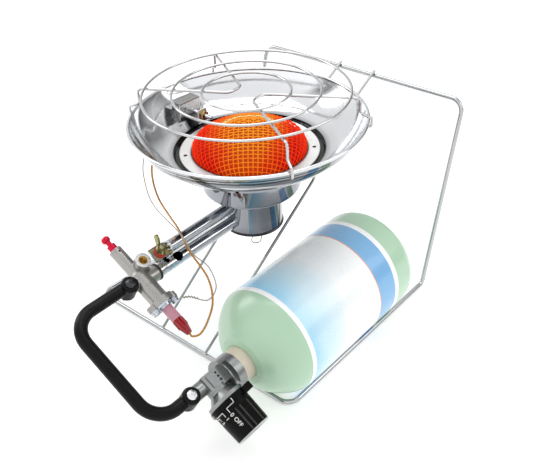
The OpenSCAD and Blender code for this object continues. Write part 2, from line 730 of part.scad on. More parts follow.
module regulator_body() color("darkgray")
    difference() {
        on_train(0, reg_y) {
            translate([cyl_s - 2, 0, 0]) along_x(9, 9);
            translate([cyl_s + 7, 0, 0]) rotate([0, 90, 0]) cylinder(r1 = 9, r2 = 14, h = knob_s - cyl_s - 10.5);
            translate([knob_s - 3.5, 0, 0]) along_x(16.5, 3);
            translate([cyl_s - 10, -8.5, 0]) cube([15, 20, 8]);
            translate([cyl_s - 8, -5, 7]) cube([11, 11, 2]);
            translate([lower_banjo[0], lower_banjo[1] - reg_y, 0]) along_y(6.5, 33);
        }
        on_train(0, head_back) translate([cyl_s - 25, 0, -25]) cube([50, 30, 50]);
        on_train(lower_banjo[0], lower_banjo[1], -banjo_h) cylinder(r = banjo_r + touch, h = 2 * banjo_h);
        for (i = [0 : 2])
            on_train(cyl_s - 6 + 3.4 * i, reg_y + 4, 6) cylinder(r = 1 + 0.2 * i, h = 6);
        on_train(spindle_s, reg_y) along_x(spindle_r + touch, 20);
    }

module inlet_head() color("darkgray")
    on_train(cyl_s, head_back)
        difference() {
            along_y(head_r, head_front - head_back);
            translate([-8, 0.8, 9]) cube([24, 4.4, head_r]);
            translate([0, 6, 0]) along_y(valve_r + running, head_front - head_back);
        }

module inlet_seal() color("black")
    on_train(cyl_s, head_back + 6)
        difference() {
            along_y(6, 1.4);
            translate([0, -1, 0]) along_y(2, 4);
        }

module spindle() color("silver") on_train(spindle_s, reg_y) along_x(spindle_r, knob_s + 12 - spindle_s);

// Fluted grip with a bare face for the step marks and a pointer tab at its foot
module knob() color("black")
    on_train(knob_s, reg_y)
        difference() {
            union() {
                rotate([0, 90, 0]) cylinder(r1 = knob_r, r2 = knob_r - 0.8, h = knob_l);
                along_x(knob_r + 1.2, 4);
                rotate([-40, 0, 0]) {
                    translate([0, -3, 0]) cube([6, 6, knob_r + 5]);
                    translate([0, 0, knob_r + 5]) along_x(3, 6);
                }
            }
            for (i = [0 : flute_n - 1])
                rotate([i * 24 - 200, 0, 0]) translate([9, 0, knob_r + 0.8]) along_x(2.4, knob_l);
            translate([-1, 0, 0]) along_x(spindle_r + running, 17);
        }

module knob_rim() color("lightgray")
    on_train(knob_s + knob_l, reg_y)
        difference() {
            along_x(knob_r - 1.2, 1.2);
            translate([-1, 0, 0]) along_x(knob_r - 4, 4);
        }

// ---------- gas cylinder ----------

// Half outline of a dished head: a knuckle that runs into a crown, from the rim to the axis
function dished(r, h, k) = let (b = r - k, drop = (b * b - (h - k) * (h - k)) / (2 * (h - k)), a = atan(drop / b))
    concat(arc([b, 0], k, 0, a, 8), arc([0, -drop], drop + h, a, 90, 8));

// Thin pressed steel: round front dome with a seat for the valve, and a base dented inwards
module cylinder_shell() color("palegreen") placed()
    translate([cyl_x, shoulder_y, cyl_r])
        rotate([90, 0, 0])
            rotate_extrude($fn = 96)
                polygon(concat(
                    shell_side(base_dent_r, base_knuckle, shell_r, dome_h, knuckle_r, seat_r + 0.5),
                    [[seat_r, seat_h], [neck_hole_r, seat_h], [neck_hole_r, seat_h - shell_wall]],
                    backwards(shell_side(base_dent_r + shell_wall, base_knuckle - shell_wall,
                        shell_r - shell_wall, seat_h - shell_wall, knuckle_r - shell_wall, neck_hole_r + 1))));

// Outline from the middle of the base round its knuckle, up the barrel and over the dome
function shell_side(dent, k, r, h, front_k, stop_r) = concat(
    arc([0, -barrel_l - base_h - base_dent_r + base_dent], dent, 90, 72, 4),
    arc([r - k, -barrel_l], k, -90, 0, 6),
    [for (p = dished(r, h, front_k)) if (p[0] > stop_r) p]);

function backwards(pts) = [for (i = [len(pts) - 1 : -1 : 0]) pts[i]];

// The label is drawn down over the start of the front knuckle
module label_sleeve() color("lightskyblue") placed()
    translate([cyl_x, shoulder_y, cyl_r])
        rotate([90, 0, 0])
            rotate_extrude($fn = 96) {
                outer = dished(cyl_r, dome_h + skin, knuckle_r + skin);
                inner = dished(shell_r, dome_h, knuckle_r);
                polygon(concat([[shell_r, shoulder_y - label_back], [cyl_r, shoulder_y - label_back]],
                    [for (i = [0 : 3]) outer[i]], [for (i = [3 : -1 : 0]) inner[i]]));
            }

module neck_collar() color("antiquewhite") placed()
    translate([cyl_x, dome_y + 3, cyl_r])
        rotate([90, 0, 0])
            difference() {
                cylinder(r = collar_r, h = dome_y + 3 - head_front - 0.3);
                translate([0, 0, -1]) cylinder(r = 13, h = 14);
            }

module cylinder_valve() color("goldenrod") placed()
    translate([cyl_x, dome_y + 3, cyl_r])
        rotate([90, 0, 0]) cylinder(r = valve_r, h = dome_y - head_back - 6);

front_bar();
base_bar(-1, back_x[0]);  // left_base_bar
base_bar(1, back_x[1]);  // right_base_bar
upright(-1, back_x[0]);  // left_upright
upright(1, back_x[1]);  // right_upright
top_bar();
left_strut();
right_strut();
reflector_bowl();
grille_outer_ring();
grille_middle_ring();
grille_inner_ring();
grille_left_wire();
grille_right_wire();
burner_cup();
tray_gasket();
flange_ring();
mesh_dome();
inner_diffuser();
flange_studs();
mixing_cup();
cup_tie_wire();
mixer_tube();
support_arm();
clamp_plate();
clamp_stud();
fibre_washer();
wing_nut();
sensor_bracket();
sensor_probe();
probe_nut();
valve_body();
port_insert();
outlet_seal();
reset_button();
end_cap();
cap_screws();
lead_collar();
lead_connector();
sensor_lead();
earth_wire();
gas_pipe();
upper_banjo();
lower_banjo();
banjo_screws();
regulator_body();
inlet_head();
inlet_seal();
spindle();
knob();
knob_rim();
cylinder_shell();
label_sleeve();
neck_collar();
cylinder_valve();
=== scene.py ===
import math
import bpy
import bmesh
from mathutils import Matrix, Vector
from mathutils.geometry import interpolate_bezier


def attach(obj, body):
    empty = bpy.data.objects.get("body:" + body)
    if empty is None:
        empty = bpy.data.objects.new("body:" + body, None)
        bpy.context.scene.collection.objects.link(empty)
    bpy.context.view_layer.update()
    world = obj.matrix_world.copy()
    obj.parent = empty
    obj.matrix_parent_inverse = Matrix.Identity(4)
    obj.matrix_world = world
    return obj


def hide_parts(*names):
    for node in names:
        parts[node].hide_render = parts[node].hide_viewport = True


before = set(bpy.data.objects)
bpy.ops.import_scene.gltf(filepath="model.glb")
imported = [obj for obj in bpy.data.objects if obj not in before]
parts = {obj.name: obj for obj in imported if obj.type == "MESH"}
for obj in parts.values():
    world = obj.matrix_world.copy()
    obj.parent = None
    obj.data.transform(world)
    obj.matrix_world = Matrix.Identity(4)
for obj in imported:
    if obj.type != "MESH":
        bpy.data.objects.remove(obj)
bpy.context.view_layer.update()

# the drawing counts millimetres from the burner axis, the front bar and the floor
unit = 0.001
quarter = math.pi / 2
drawing = {"middle": (8.14659508, 71.375, 0.0), "burnerY": 99.6, "ledgeZ": 162.4, "tubeZ": 101.0,
           "slope": math.atan2(51, 90)}


def spot(x, y, z):
    return (Vector((x, y, z)) - Vector(drawing["middle"])) * unit


burnerPlace = Matrix.Translation(spot(0, drawing["burnerY"], 0)) @ Matrix.Scale(unit, 4)
trainPlace = (Matrix.Translation(spot(0, 0, drawing["tubeZ"])) @ Matrix.Rotation(drawing["slope"], 4, "Y")
              @ Matrix.Scale(unit, 4))
burnerSpot = tuple(spot(0, drawing["burnerY"], 0))
upAxis = Matrix.Rotation(drawing["slope"], 3, "Y") @ Vector((0, 0, 1))


def addObject(name, data):
    made = bpy.data.objects.new(name, data)
    bpy.context.collection.objects.link(made)
    return made


# the mesh that a curve, a text or a piece with modifiers comes to
def finalMesh(drawn):
    return bpy.data.meshes.new_from_object(drawn.evaluated_get(bpy.context.evaluated_depsgraph_get()))


# camera
view = {"at": spot(420.27, -350.0, 501.74), "lens": 53.26, "sensor": 36.0, "near": 0.01,
        "axes": ((0.76026, 0.64846, -0.03879), (-0.34667, 0.45550, 0.81996), (0.54938, -0.60994, 0.57110))}
lens = bpy.data.cameras.new("lens")
lens.sensor_fit = "HORIZONTAL"
lens.sensor_width = view["sensor"]
lens.lens = view["lens"]
lens.clip_start = view["near"]
camera = addObject("camera", lens)
camera.matrix_world = Matrix.Translation(view["at"]) @ Matrix(view["axes"]).transposed().to_4x4()
bpy.context.scene.camera = camera


# loose wires: smooth curves through the drawing's own points, made into round tubes
def curveTube(name, points, diameter, steps=8):
    curve = bpy.data.curves.new(name, "CURVE")
    curve.dimensions = "3D"
    curve.bevel_depth = diameter / 2
    curve.bevel_resolution = 3
    curve.resolution_u = steps
    curve.use_fill_caps = True
    line = curve.splines.new("BEZIER")
    last = len(points) - 1
    line.bezier_points.add(last)
    for i, point in enumerate(line.bezier_points):
        lead = (points[min(i + 1, last)] - points[max(i - 1, 0)]) / 6
        point.handle_left_type = point.handle_right_type = "FREE"
        point.co = points[i]
        point.handle_left = points[i] - lead
        point.handle_right = points[i] + lead
    path = []
    for a, b in zip(line.bezier_points, line.bezier_points[1:]):
        path += interpolate_bezier(a.co, a.handle_right, b.handle_left, b.co, steps + 1)[:-1]
    path.append(points[-1])
    length = line.calc_length()
    drawn = addObject(name + "Curve", curve)
    mesh = finalMesh(drawn)
    bpy.data.objects.remove(drawn)
    return addObject(name, mesh), path, length


def aroundBurner(radius, angle, height):
    turn = math.radians(angle)
    return spot(radius * math.cos(turn), drawing["burnerY"] + radius * math.sin(turn), height)


leadWire = {
    "diameter": 0.0018,
    "start": [trainPlace @ Vector((58.55, -38.5, 0)), trainPlace @ Vector((62, -38.5, 0))],
    "route": [(0.058, -0.033, 0.072), (0.056, -0.022, 0.077), (0.050, -0.009, 0.086), (0.038, -0.001, 0.100),
              (0.020, -0.002, 0.120), (-0.001, 0.008, 0.126), (-0.024, 0.018, 0.127), (-0.044, 0.026, 0.131),
              (-0.055, 0.031, 0.142), (-0.060, 0.036, 0.155), (-0.072, 0.053, 0.161), (-0.092, 0.084, 0.167),
              (-0.102, 0.102, 0.174)],
    "finish": [aroundBurner(94, 176, 178), aroundBurner(84.05, 176, 178)],
}
earthWire = {
    "diameter": 0.0011,
    "start": [trainPlace @ Vector((29.8, -24.05, 0))],
    "route": [(0.033, -0.018, 0.088), (0.045, -0.010, 0.085), (0.044, 0.002, 0.091), (0.033, 0.006, 0.104),
              (0.028, -0.005, 0.122), (0.007, 0.002, 0.129), (-0.038, 0.014, 0.134), (-0.062, 0.027, 0.146),
              (-0.072, 0.038, 0.158), (-0.090, 0.066, 0.165), (-0.103, 0.092, 0.172)],
    "finish": [aroundBurner(92.908, 181.128, 178), aroundBurner(79.908, 181.128, 178)],
}
middle = Vector(drawing["middle"]) * unit

# the thin wire's end is twisted back round itself where it leaves the screw
twist = {"from": 0.0042, "to": 0.0165, "turns": 5, "radius": 0.00085, "diameter": 0.0008, "stepsPerTurn": 8}


def twistedEnd(path):
    gone, points, steps = [0.0], [], twist["turns"] * twist["stepsPerTurn"]
    for a, b in zip(path, path[1:]):
        gone.append(gone[-1] + (b - a).length)
    for step in range(steps + 1):
        reach = twist["from"] + (twist["to"] - twist["from"]) * step / steps
        at = max(i for i in range(len(path) - 1) if gone[i] <= reach)
        heading = (path[at + 1] - path[at]).normalized()
        side = heading.cross(Vector((0, 0, 1))).normalized()
        angle = 2 * math.pi * step / twist["stepsPerTurn"]
        aside = math.cos(angle) * side + math.sin(angle) * heading.cross(side)
        points.append(path[at] + heading * (reach - gone[at]) + aside * twist["radius"])
    tail = curveTube("twistedEnd", points, twist["diameter"], 2)[0]
    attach(tail, "root")
    return tail


for wire, node, name, slot in ((leadWire, "sensor_lead", "copperLead", "lead_sheath"),
                               (earthWire, "earth_wire", "bareWire", "earth_sheath")):
    points = wire["start"] + [Vector(p) - middle for p in wire["route"]] + wire["finish"]
    wire["piece"], path, length = curveTube(name, points, wire["diameter"])
    wire["ends"] = [twistedEnd(path)] if wire is earthWire else []
    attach(wire["piece"], "root")
    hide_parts(node)
print("camera and loose wires are in")


# finishes: small helpers that add nodes to a tree and give back their output


# joins a socket, or sets a number, vector or colour
def feed(tree, target, value):
    if isinstance(value, bpy.types.NodeSocket):
        tree.links.new(value, target)
    elif target.type == "RGBA" and len(value) == 3:
        target.default_value = (*value, 1)
    else:
        target.default_value = value


# s0, s1 and so on are the sockets by number, the others go by name
def addNode(tree, kind, settings=None, **sockets):
    node = tree.nodes.new("ShaderNode" + kind)
    for key, value in (settings or {}).items():
        setattr(node, key, value)
    for key, value in sockets.items():
        feed(tree, node.inputs[int(key[1:]) if key[0] == "s" else key.replace("_", " ")], value)
    return node


def mathNode(tree, operation, *values, clamp=False):
    sockets = {"s%d" % i: value for i, value in enumerate(values)}
    return addNode(tree, "Math", {"operation": operation, "use_clamp": clamp}, **sockets).outputs[0]


def vectorNode(tree, operation, *values):
    sockets = {"Scale" if operation == "SCALE" and i else "s%d" % i: value for i, value in enumerate(values)}
    node = addNode(tree, "VectorMath", {"operation": operation}, **sockets)
    return node.outputs["Value" if operation in ("LENGTH", "DOT_PRODUCT") else "Vector"]


def rescale(tree, value, low, high, first=0.0, last=1.0):
    return addNode(tree, "MapRange", Value=value, From_Min=low, From_Max=high, To_Min=first,
                   To_Max=last).outputs["Result"]


def noise(tree, place, scale, detail, roughness=0.5):
    return addNode(tree, "TexNoise", Vector=place, Scale=scale, Detail=detail, Roughness=roughness).outputs["Fac"]


# the values that one noise, or two added together, mostly stay between
noiseSpan = {"one": (0.3, 0.7), "two": (0.7, 1.3)}


# a noise stretched to run from -limit to limit
def noiseWithin(tree, place, scale, detail, limit):
    return rescale(tree, noise(tree, place, scale, detail), *noiseSpan["one"], -limit, limit)


def mixColors(tree, share, first, second):
    return addNode(tree, "Mix", {"data_type": "RGBA"}, s0=share, s6=first, s7=second).outputs[2]


def axesOf(tree, vector):
    return addNode(tree, "SeparateXYZ", Vector=vector).outputs


def objectPlace(tree):
    return addNode(tree, "TexCoord").outputs["Object"]


# the place seen from the burner's foot, and its distance from the burner's upright axis
def fromBurner(tree, place):
    centred = vectorNode(tree, "SUBTRACT", place, burnerSpot)
    return centred, vectorNode(tree, "LENGTH", vectorNode(tree, "MULTIPLY", centred, (1, 1, 0)))


# a stop is a place and a colour, or a place and a shade of grey
def ramp(tree, factor, stops, mode="LINEAR"):
    node = addNode(tree, "ValToRGB", Fac=factor)
    node.color_ramp.interpolation = mode
    while len(node.color_ramp.elements) < len(stops):
        node.color_ramp.elements.new(0.5)
    for element, (place, color) in zip(node.color_ramp.elements, stops):
        element.position = place
        element.color = (*color, 1) if isinstance(color, tuple) else (color, color, color, 1)
    return node.outputs["Color"]


def newGroup(name, inputs, outputs):
    tree = bpy.data.node_groups.new(name, "ShaderNodeTree")
    for label, kind, value in inputs:
        socket = tree.interface.new_socket(label, in_out="INPUT", socket_type="NodeSocket" + kind)
        if value is not None:
            socket.default_value = value
    for label, kind in outputs:
        tree.interface.new_socket(label, in_out="OUTPUT", socket_type="NodeSocket" + kind)
    return tree, tree.nodes.new("NodeGroupInput").outputs, tree.nodes.new("NodeGroupOutput").inputs


# gives the group's inputs their values in the order in which newGroup lists them
def placeGroup(tree, group, *values):
    node = tree.nodes.new("ShaderNodeGroup")
    node.node_tree = group
    for socket, value in zip(node.inputs, values):
        feed(tree, socket, value)
    return node.outputs


skinOutputs = [("Color", "Color"), ("Roughness", "Float"), ("Height", "Float")]


# two noises together tint the colour and change the roughness; the fine one is also the height
def endSkinGroup(tree, given, results, coarse, fine):
    spread = rescale(tree, mathNode(tree, "ADD", coarse, fine), *noiseSpan["two"], -1.0, 1.0)
    change = mathNode(tree, "MULTIPLY_ADD", spread, given["Color Change"], 1.0)
    rougher = mathNode(tree, "MULTIPLY_ADD", spread, given["Roughness Change"], given["Roughness"], clamp=True)
    for label, socket in (("Color", vectorNode(tree, "SCALE", given["Color"], change)), ("Roughness", rougher),
                          ("Height", fine)):
        tree.links.new(socket, results[label])


# soft cloudy patches, fine grain and pinprick speckle, as on cast, moulded and plated skins
grainTree, grainIn, grainOut = newGroup("skinGrain", [
    ("Color", "Color", (0.5, 0.5, 0.5, 1)), ("Roughness", "Float", 0.4), ("Cloud Size", "Float", 60.0),
    ("Grain Size", "Float", 1200.0), ("Color Change", "Float", 0.1), ("Roughness Change", "Float", 0.1)], skinOutputs)
place = objectPlace(grainTree)
endSkinGroup(grainTree, grainIn, grainOut, noise(grainTree, place, grainIn["Cloud Size"], 4.0, 0.6),
             noise(grainTree, place, grainIn["Grain Size"], 2.0, 0.7))

# hair-fine lines that run round the burner's upright axis, from spinning and polishing the sheet
spun = {"slowTurn": 0.006, "smearSize": 28.0}
spunTree, spunIn, spunOut = newGroup("spunLines", [
    ("Color", "Color", (0.8, 0.8, 0.8, 1)), ("Roughness", "Float", 0.12), ("Lines", "Float", 900.0),
    ("Color Change", "Float", 0.05), ("Roughness Change", "Float", 0.08)], skinOutputs)
place = objectPlace(spunTree)
centred, radius = fromBurner(spunTree, place)
axes = axesOf(spunTree, centred)
slowTurn = mathNode(spunTree, "MULTIPLY", mathNode(spunTree, "ARCTAN2", axes["Y"], axes["X"]), spun["slowTurn"])
wound = addNode(spunTree, "CombineXYZ", X=radius, Y=slowTurn, Z=axes["Z"]).outputs[0]
endSkinGroup(spunTree, spunIn, spunOut, noise(spunTree, place, spun["smearSize"], 5.0, 0.55),
             noise(spunTree, wound, spunIn["Lines"], 3.0, 0.7))

# screw thread ridges round an axis; the vector is in metres, with the axis along its Z
threadTree, threadIn, threadOut = newGroup("threadRidges", [
    ("Vector", "Vector", None), ("Pitch", "Float", 0.0008)], [("Height", "Float")])
axes = axesOf(threadTree, threadIn["Vector"])
turn = mathNode(threadTree, "DIVIDE", mathNode(threadTree, "ARCTAN2", axes["Y"], axes["X"]), 2 * math.pi)
phase = mathNode(threadTree, "ADD", turn, mathNode(threadTree, "DIVIDE", axes["Z"], threadIn["Pitch"]))
ridge = mathNode(threadTree, "MULTIPLY", mathNode(threadTree, "PINGPONG", phase, 0.5), 2.0)
threadTree.links.new(ridge, threadOut["Height"])

skins = {}


def newMaterial(name, settings):
    material = skins[name] = bpy.data.materials.new(name)
    material.use_nodes = True
    tree = material.node_tree
    inputs = tree.nodes["Principled BSDF"].inputs
    for key, value in settings.items():
        feed(tree, inputs[key], value)
    return tree, inputs


# joins a skin group's results to the shader; another colour or height may stand in for its own
def dress(tree, inputs, made, bump=None, color=None, height=None):
    tree.links.new(made["Color"] if color is None else color, inputs["Base Color"])
    tree.links.new(made["Roughness"], inputs["Roughness"])
    if bump:
        height = made["Height"] if height is None else height
        relief = addNode(tree, "Bump", Height=height, Strength=bump[0], Distance=bump[1])
        tree.links.new(relief.outputs["Normal"], inputs["Normal"])


# painted shade: the underside of a spun sheet is dimmed, in rings of painted dark reflection towards the front
underShade = {"facing": (-0.15, 0.05), "ringScale": 330.0, "rings": (0.46, 0.60), "frontWay": (0.66, -0.75, 0),
         "front": (0.040, 0.078), "elsewhere": 0.8}


# spun sheet that darkens towards one edge, a painted shade; the stops run over radius or height, in millimetres
# from the burner axis or the floor
def edgeShadeSheet(name, look, settings, bump, along, span, stops, underShadeLevel=1.0):
    tree, inputs = newMaterial(name, settings)
    place = objectPlace(tree)
    centred, reach = fromBurner(tree, place)
    rise = axesOf(tree, place)["Z"]
    share = rescale(tree, reach if along == "radius" else rise, span[0] * unit, span[1] * unit)
    facing = axesOf(tree, addNode(tree, "NewGeometry").outputs["Normal"])["Z"]
    shadeBelow = rescale(tree, facing, *underShade["facing"], underShadeLevel, 1.0)
    rings = noise(tree, addNode(tree, "CombineXYZ", Z=rise).outputs[0], underShade["ringScale"], 1.0)
    rings = rescale(tree, rings, *underShade["rings"], underShadeLevel, 1.0)
    front = vectorNode(tree, "DOT_PRODUCT", centred, underShade["frontWay"])
    elsewhere = rescale(tree, front, *underShade["front"], underShade["elsewhere"], 0.0)
    shadeBelow = mathNode(tree, "MAXIMUM", mathNode(tree, "MAXIMUM", shadeBelow, rings), elsewhere)
    shade = vectorNode(tree, "SCALE", ramp(tree, share, stops), shadeBelow)
    made = placeGroup(tree, spunTree, *look)
    dress(tree, inputs, made, bump, vectorNode(tree, "MULTIPLY", made["Color"], shade))


metal = {"Metallic": 1.0}
# the dish: painted shadow over its ledge and the foot of its wall in the gap round the flange ring, and painted shade
# underneath
edgeShadeSheet("mirrorSheet", ((0.72, 0.73, 0.75), 0.09, 1100.0, 0.04, 0.05), metal, (0.03, 0.00003), "radius", (60, 80),
          [(0.0, 0.05), (0.36, 0.05), (0.41, 0.55), (0.62, 0.9), (1.0, 1.0)], 0.10)
# the cups: painted shade at the foot of the mixing cup
edgeShadeSheet("cupSheet", ((0.29, 0.30, 0.325), 0.045, 900.0, 0.06, 0.04), metal, (0.03, 0.00003), "height", (87, 97),
          [(0.0, 0.04), (0.22, 0.05), (0.32, 0.75), (1.0, 1.0)])
# the flange ring: painted shade at its inner edge by the mesh and towards its outer edge by the gap
edgeShadeSheet("paleSheet", ((0.84, 0.84, 0.83), 0.34, 800.0, 0.05, 0.08), {"Metallic": 0.6}, (0.08, 0.00004), "radius",
          (50, 64), [(0.0, 0.04), (0.14, 0.05), (0.20, 0.8), (0.3, 1.0), (0.82, 1.0), (0.87, 0.35)])
# the sensor bracket: painted shade at its foot by the flange, and darker over its top plate
edgeShadeSheet("bracketSheet", ((0.84, 0.84, 0.83), 0.28, 500.0, 0.06, 0.08), {"Metallic": 0.65}, (0.08, 0.00004),
          "height", (165, 190), [(0.0, 0.06), (0.30, 0.12), (0.42, 0.85), (0.81, 1.0), (0.825, 0.32), (1.0, 0.4)])


# a cast or plated skin with one region of another colour, told by millimetres from the mixer tube's axis or above it
def regionSkin(name, look, settings, bump, measure, bounds, other):
    tree, inputs = newMaterial(name, settings)
    moved = vectorNode(tree, "SUBTRACT", objectPlace(tree), tuple(spot(0, 0, drawing["tubeZ"])))
    if measure == "fromTube":
        reach = vectorNode(tree, "LENGTH", vectorNode(tree, "MULTIPLY", moved, (1, 0, 1)))
    else:
        reach = vectorNode(tree, "DOT_PRODUCT", moved, tuple(upAxis))
    share = rescale(tree, reach, bounds[0] * unit, bounds[1] * unit)
    made = placeGroup(tree, grainTree, *look)
    dress(tree, inputs, made, bump, mixColors(tree, share, made["Color"], other))


# the mixer tube's inside and the walls of its holes are painted black: painted shade inside the tube
regionSkin("tubeChrome", ((0.60, 0.61, 0.63), 0.15, 45.0, 2000.0, 0.06, 0.05), metal, (0.03, 0.00003), "fromTube",
           (5.75, 5.45), (0.004, 0.004, 0.004))
regionSkin("castAlloy", ((0.37, 0.36, 0.345), 0.30, 90.0, 1500.0, 0.10, 0.08), {"Metallic": 0.85}, (0.2, 0.0001),
           "upTrain", (13.6, 13.7), (0.86, 0.86, 0.85))

# plain skins: the grain group's six inputs, the bump's strength and depth, and the shader's own settings
plainSkins = {
    "brightWire": ((0.47, 0.48, 0.49), 0.14, 40.0, 1800.0, 0.06, 0.05, (0.05, 0.00005), metal),
    "strutWire": ((0.30, 0.31, 0.30), 0.16, 40.0, 1800.0, 0.1, 0.05, (0.05, 0.00005), metal),
    "grilleWire": ((0.56, 0.56, 0.56), 0.12, 55.0, 1800.0, 0.09, 0.06, (0.05, 0.00005), metal),
    "plainChrome": ((0.58, 0.59, 0.61), 0.15, 45.0, 2000.0, 0.06, 0.05, (0.03, 0.00003), metal),
    "castZinc": ((0.28, 0.29, 0.29), 0.30, 70.0, 900.0, 0.05, 0.05, (0.05, 0.00005), {"Metallic": 0.92}),
    "zincPlate": ((0.54, 0.57, 0.61), 0.12, 200.0, 2400.0, 0.08, 0.08, (0.06, 0.00005), metal),
    "darkSteel": ((0.13, 0.13, 0.14), 0.34, 160.0, 2000.0, 0.2, 0.1, (0.1, 0.00005), metal),
    "yellowZinc": ((0.33, 0.31, 0.14), 0.18, 130.0, 2200.0, 0.22, 0.1, (0.08, 0.00005), metal),
    "turnedBrass": ((0.42, 0.29, 0.12), 0.22, 160.0, 2400.0, 0.12, 0.08, (0.06, 0.00005), metal),
    "clipWire": ((0.30, 0.29, 0.19), 0.26, 120.0, 2400.0, 0.1, 0.06, (0.05, 0.00005), metal),
    "redFibre": ((0.56, 0.035, 0.02), 0.55, 300.0, 3500.0, 0.2, 0.1, (0.3, 0.0001), {}),
    "blackRubber": ((0.018, 0.018, 0.018), 0.6, 150.0, 2600.0, 0.2, 0.1, (0.2, 0.0001), {}),
    "redAnodised": ((0.56, 0.008, 0.040), 0.20, 150.0, 2600.0, 0.08, 0.05, (0.06, 0.00005),
                    {"Metallic": 0.85, "Coat Weight": 0.1, "Coat Roughness": 0.12}),
    "blackCoat": ((0.004, 0.004, 0.004), 0.30, 70.0, 1500.0, 0.25, 0.08, (0.12, 0.00006),
                  {"Specular IOR Level": 0.13}),
    "blackMoulded": ((0.004, 0.004, 0.004), 0.30, 110.0, 2200.0, 0.25, 0.1, (0.18, 0.00007),
                     {"Specular IOR Level": 0.13}),
    "knobSkin": ((0.0015, 0.0015, 0.0015), 0.26, 110.0, 2200.0, 0.25, 0.1, (0.18, 0.00007),
                 {"Specular IOR Level": 0.10}),
    # the grip ribs' lighter colour is a painted highlight
    "highlightRib": ((0.026, 0.024, 0.023), 0.30, 300.0, 2200.0, 0.6, 0.1, (0.18, 0.00007), {"Specular IOR Level": 0.35}),
    "greyRim": ((0.56, 0.58, 0.59), 0.35, 110.0, 2200.0, 0.06, 0.06, (0.1, 0.00006), {}),
    "ivoryPlastic": ((0.64, 0.57, 0.46), 0.42, 90.0, 1700.0, 0.07, 0.08, (0.15, 0.00008),
                     {"Subsurface Weight": 0.08, "Subsurface Radius": (0.002, 0.001, 0.0006)}),
    "greenPaint": ((0.43, 0.64, 0.46), 0.32, 9.0, 900.0, 0.02, 0.03, (0.015, 0.00004),
                   {"Coat Weight": 0.4, "Coat Roughness": 0.10}),
    "pinkSleeve": ((0.66, 0.30, 0.38), 0.2, 200.0, 2400.0, 0.06, 0.05, (0.05, 0.00005),
                   {"Transmission Weight": 0.25, "IOR": 1.45, "Coat Weight": 0.4, "Coat Roughness": 0.1}),
    "copperLacquer": ((0.46, 0.20, 0.020), 0.3, 130.0, 1800.0, 0.16, 0.06, (0.08, 0.00005),
                      {"Metallic": 0.35, "Coat Weight": 0.3, "Coat Roughness": 0.12}),
    "wornWire": ((0.38, 0.37, 0.32), 0.36, 130.0, 1800.0, 0.12, 0.08, (0.08, 0.00005), {"Metallic": 0.7}),
    "darkGasket": ((0.03, 0.03, 0.03), 0.8, 120.0, 1500.0, 0.3, 0.1, (0.4, 0.0001), {}),
    "whitePrint": ((0.95, 0.95, 0.93), 0.5, 200.0, 2500.0, 0.08, 0.05, (0.1, 0.00004), {}),
}
for name, (*look, bump, settings) in plainSkins.items():
    tree, inputs = newMaterial(name, settings)
    dress(tree, inputs, placeGroup(tree, grainTree, *look), bump)

# the upper banjo's screw is blackened and the lower one plated
screws = {"black": (0.06, 0.06, 0.065), "plated": (0.72, 0.73, 0.75), "between": 0.03}
tree, inputs = newMaterial("screwSteel", metal)
which = mathNode(tree, "GREATER_THAN", axesOf(tree, objectPlace(tree))["X"], screws["between"])
plating = mixColors(tree, which, screws["black"], screws["plated"])
dress(tree, inputs, placeGroup(tree, grainTree, plating, 0.28, 160.0, 2000.0, 0.15, 0.1))

# the plug's moulded ribs run along it; their crests carry a painted highlight and their grooves a painted shade
ribs = {"axisAt": (45.0, -38.5, 0.0), "step": 40.0, "first": 20.0, "last": 181.0, "from": -0.02, "fade": 0.002,
        "flank": (0.20, 0.48), "groove": (0.22, 0.002, 0.006), "ridge": (0.62, 0.02, 0.03), "bump": (0.8, 0.0006)}
tree, inputs = newMaterial("redPlastic", {"Specular IOR Level": 0.3, "Coat Weight": 0.2, "Coat Roughness": 0.08})
moved = vectorNode(tree, "SUBTRACT", objectPlace(tree), tuple(trainPlace @ Vector(ribs["axisAt"])))
turned = addNode(tree, "VectorRotate", {"rotation_type": "Y_AXIS"}, Vector=moved, Angle=-drawing["slope"]).outputs[0]
axes = axesOf(tree, turned)
turn = mathNode(tree, "ARCTAN2", mathNode(tree, "MULTIPLY", axes["Y"], -1.0), axes["Z"])
phase = mathNode(tree, "MULTIPLY_ADD", turn, math.degrees(1) / ribs["step"], 0.5 - ribs["first"] / ribs["step"])
ridged = rescale(tree, mathNode(tree, "PINGPONG", phase, 0.5), *ribs["flank"])
ridged = mathNode(tree, "MULTIPLY", ridged, mathNode(tree, "LESS_THAN", turn, math.radians(ribs["last"])))
ridged = mathNode(tree, "MULTIPLY", ridged, rescale(tree, axes["X"], ribs["from"], ribs["from"] + ribs["fade"]))
# painted shade in the grooves and painted highlight on the crests
shade = mixColors(tree, ridged, ribs["groove"], ribs["ridge"])
dress(tree, inputs, placeGroup(tree, grainTree, shade, 0.22, 180.0, 2400.0, 0.1, 0.06), ribs["bump"], height=ridged)

# printed film on the cylinder: plain bands along its length, and a pale blue field that fades
film = {"from": 10.0, "to": 134.4, "blue": (0.36, 0.68, 0.90), "sky": (0.58, 0.82, 0.94), "pale": (0.92, 0.96, 0.98),
        "white": (0.97, 0.98, 0.98), "line": (0.88, 0.34, 0.16), "band": (0.20, 0.46, 0.76),
        "driftSize": 16.0, "drift": 0.09, "field": 0.032, "lineAt": 0.766, "bandAt": 0.774, "edgeAt": 0.955}
tree, inputs = newMaterial("labelFilm", {"Coat Weight": 0.35, "Coat Roughness": 0.06})
place = objectPlace(tree)
alongFilm = rescale(tree, axesOf(tree, place)["Y"], spot(0, film["from"], 0).y, spot(0, film["to"], 0).y)
drift = noiseWithin(tree, place, film["driftSize"], 2.0, film["drift"])
field = ramp(tree, mathNode(tree, "ADD", alongFilm, drift), [
    (0.02, film["blue"]), (0.18, film["sky"]), (0.40, film["pale"]), (0.8, film["white"])])
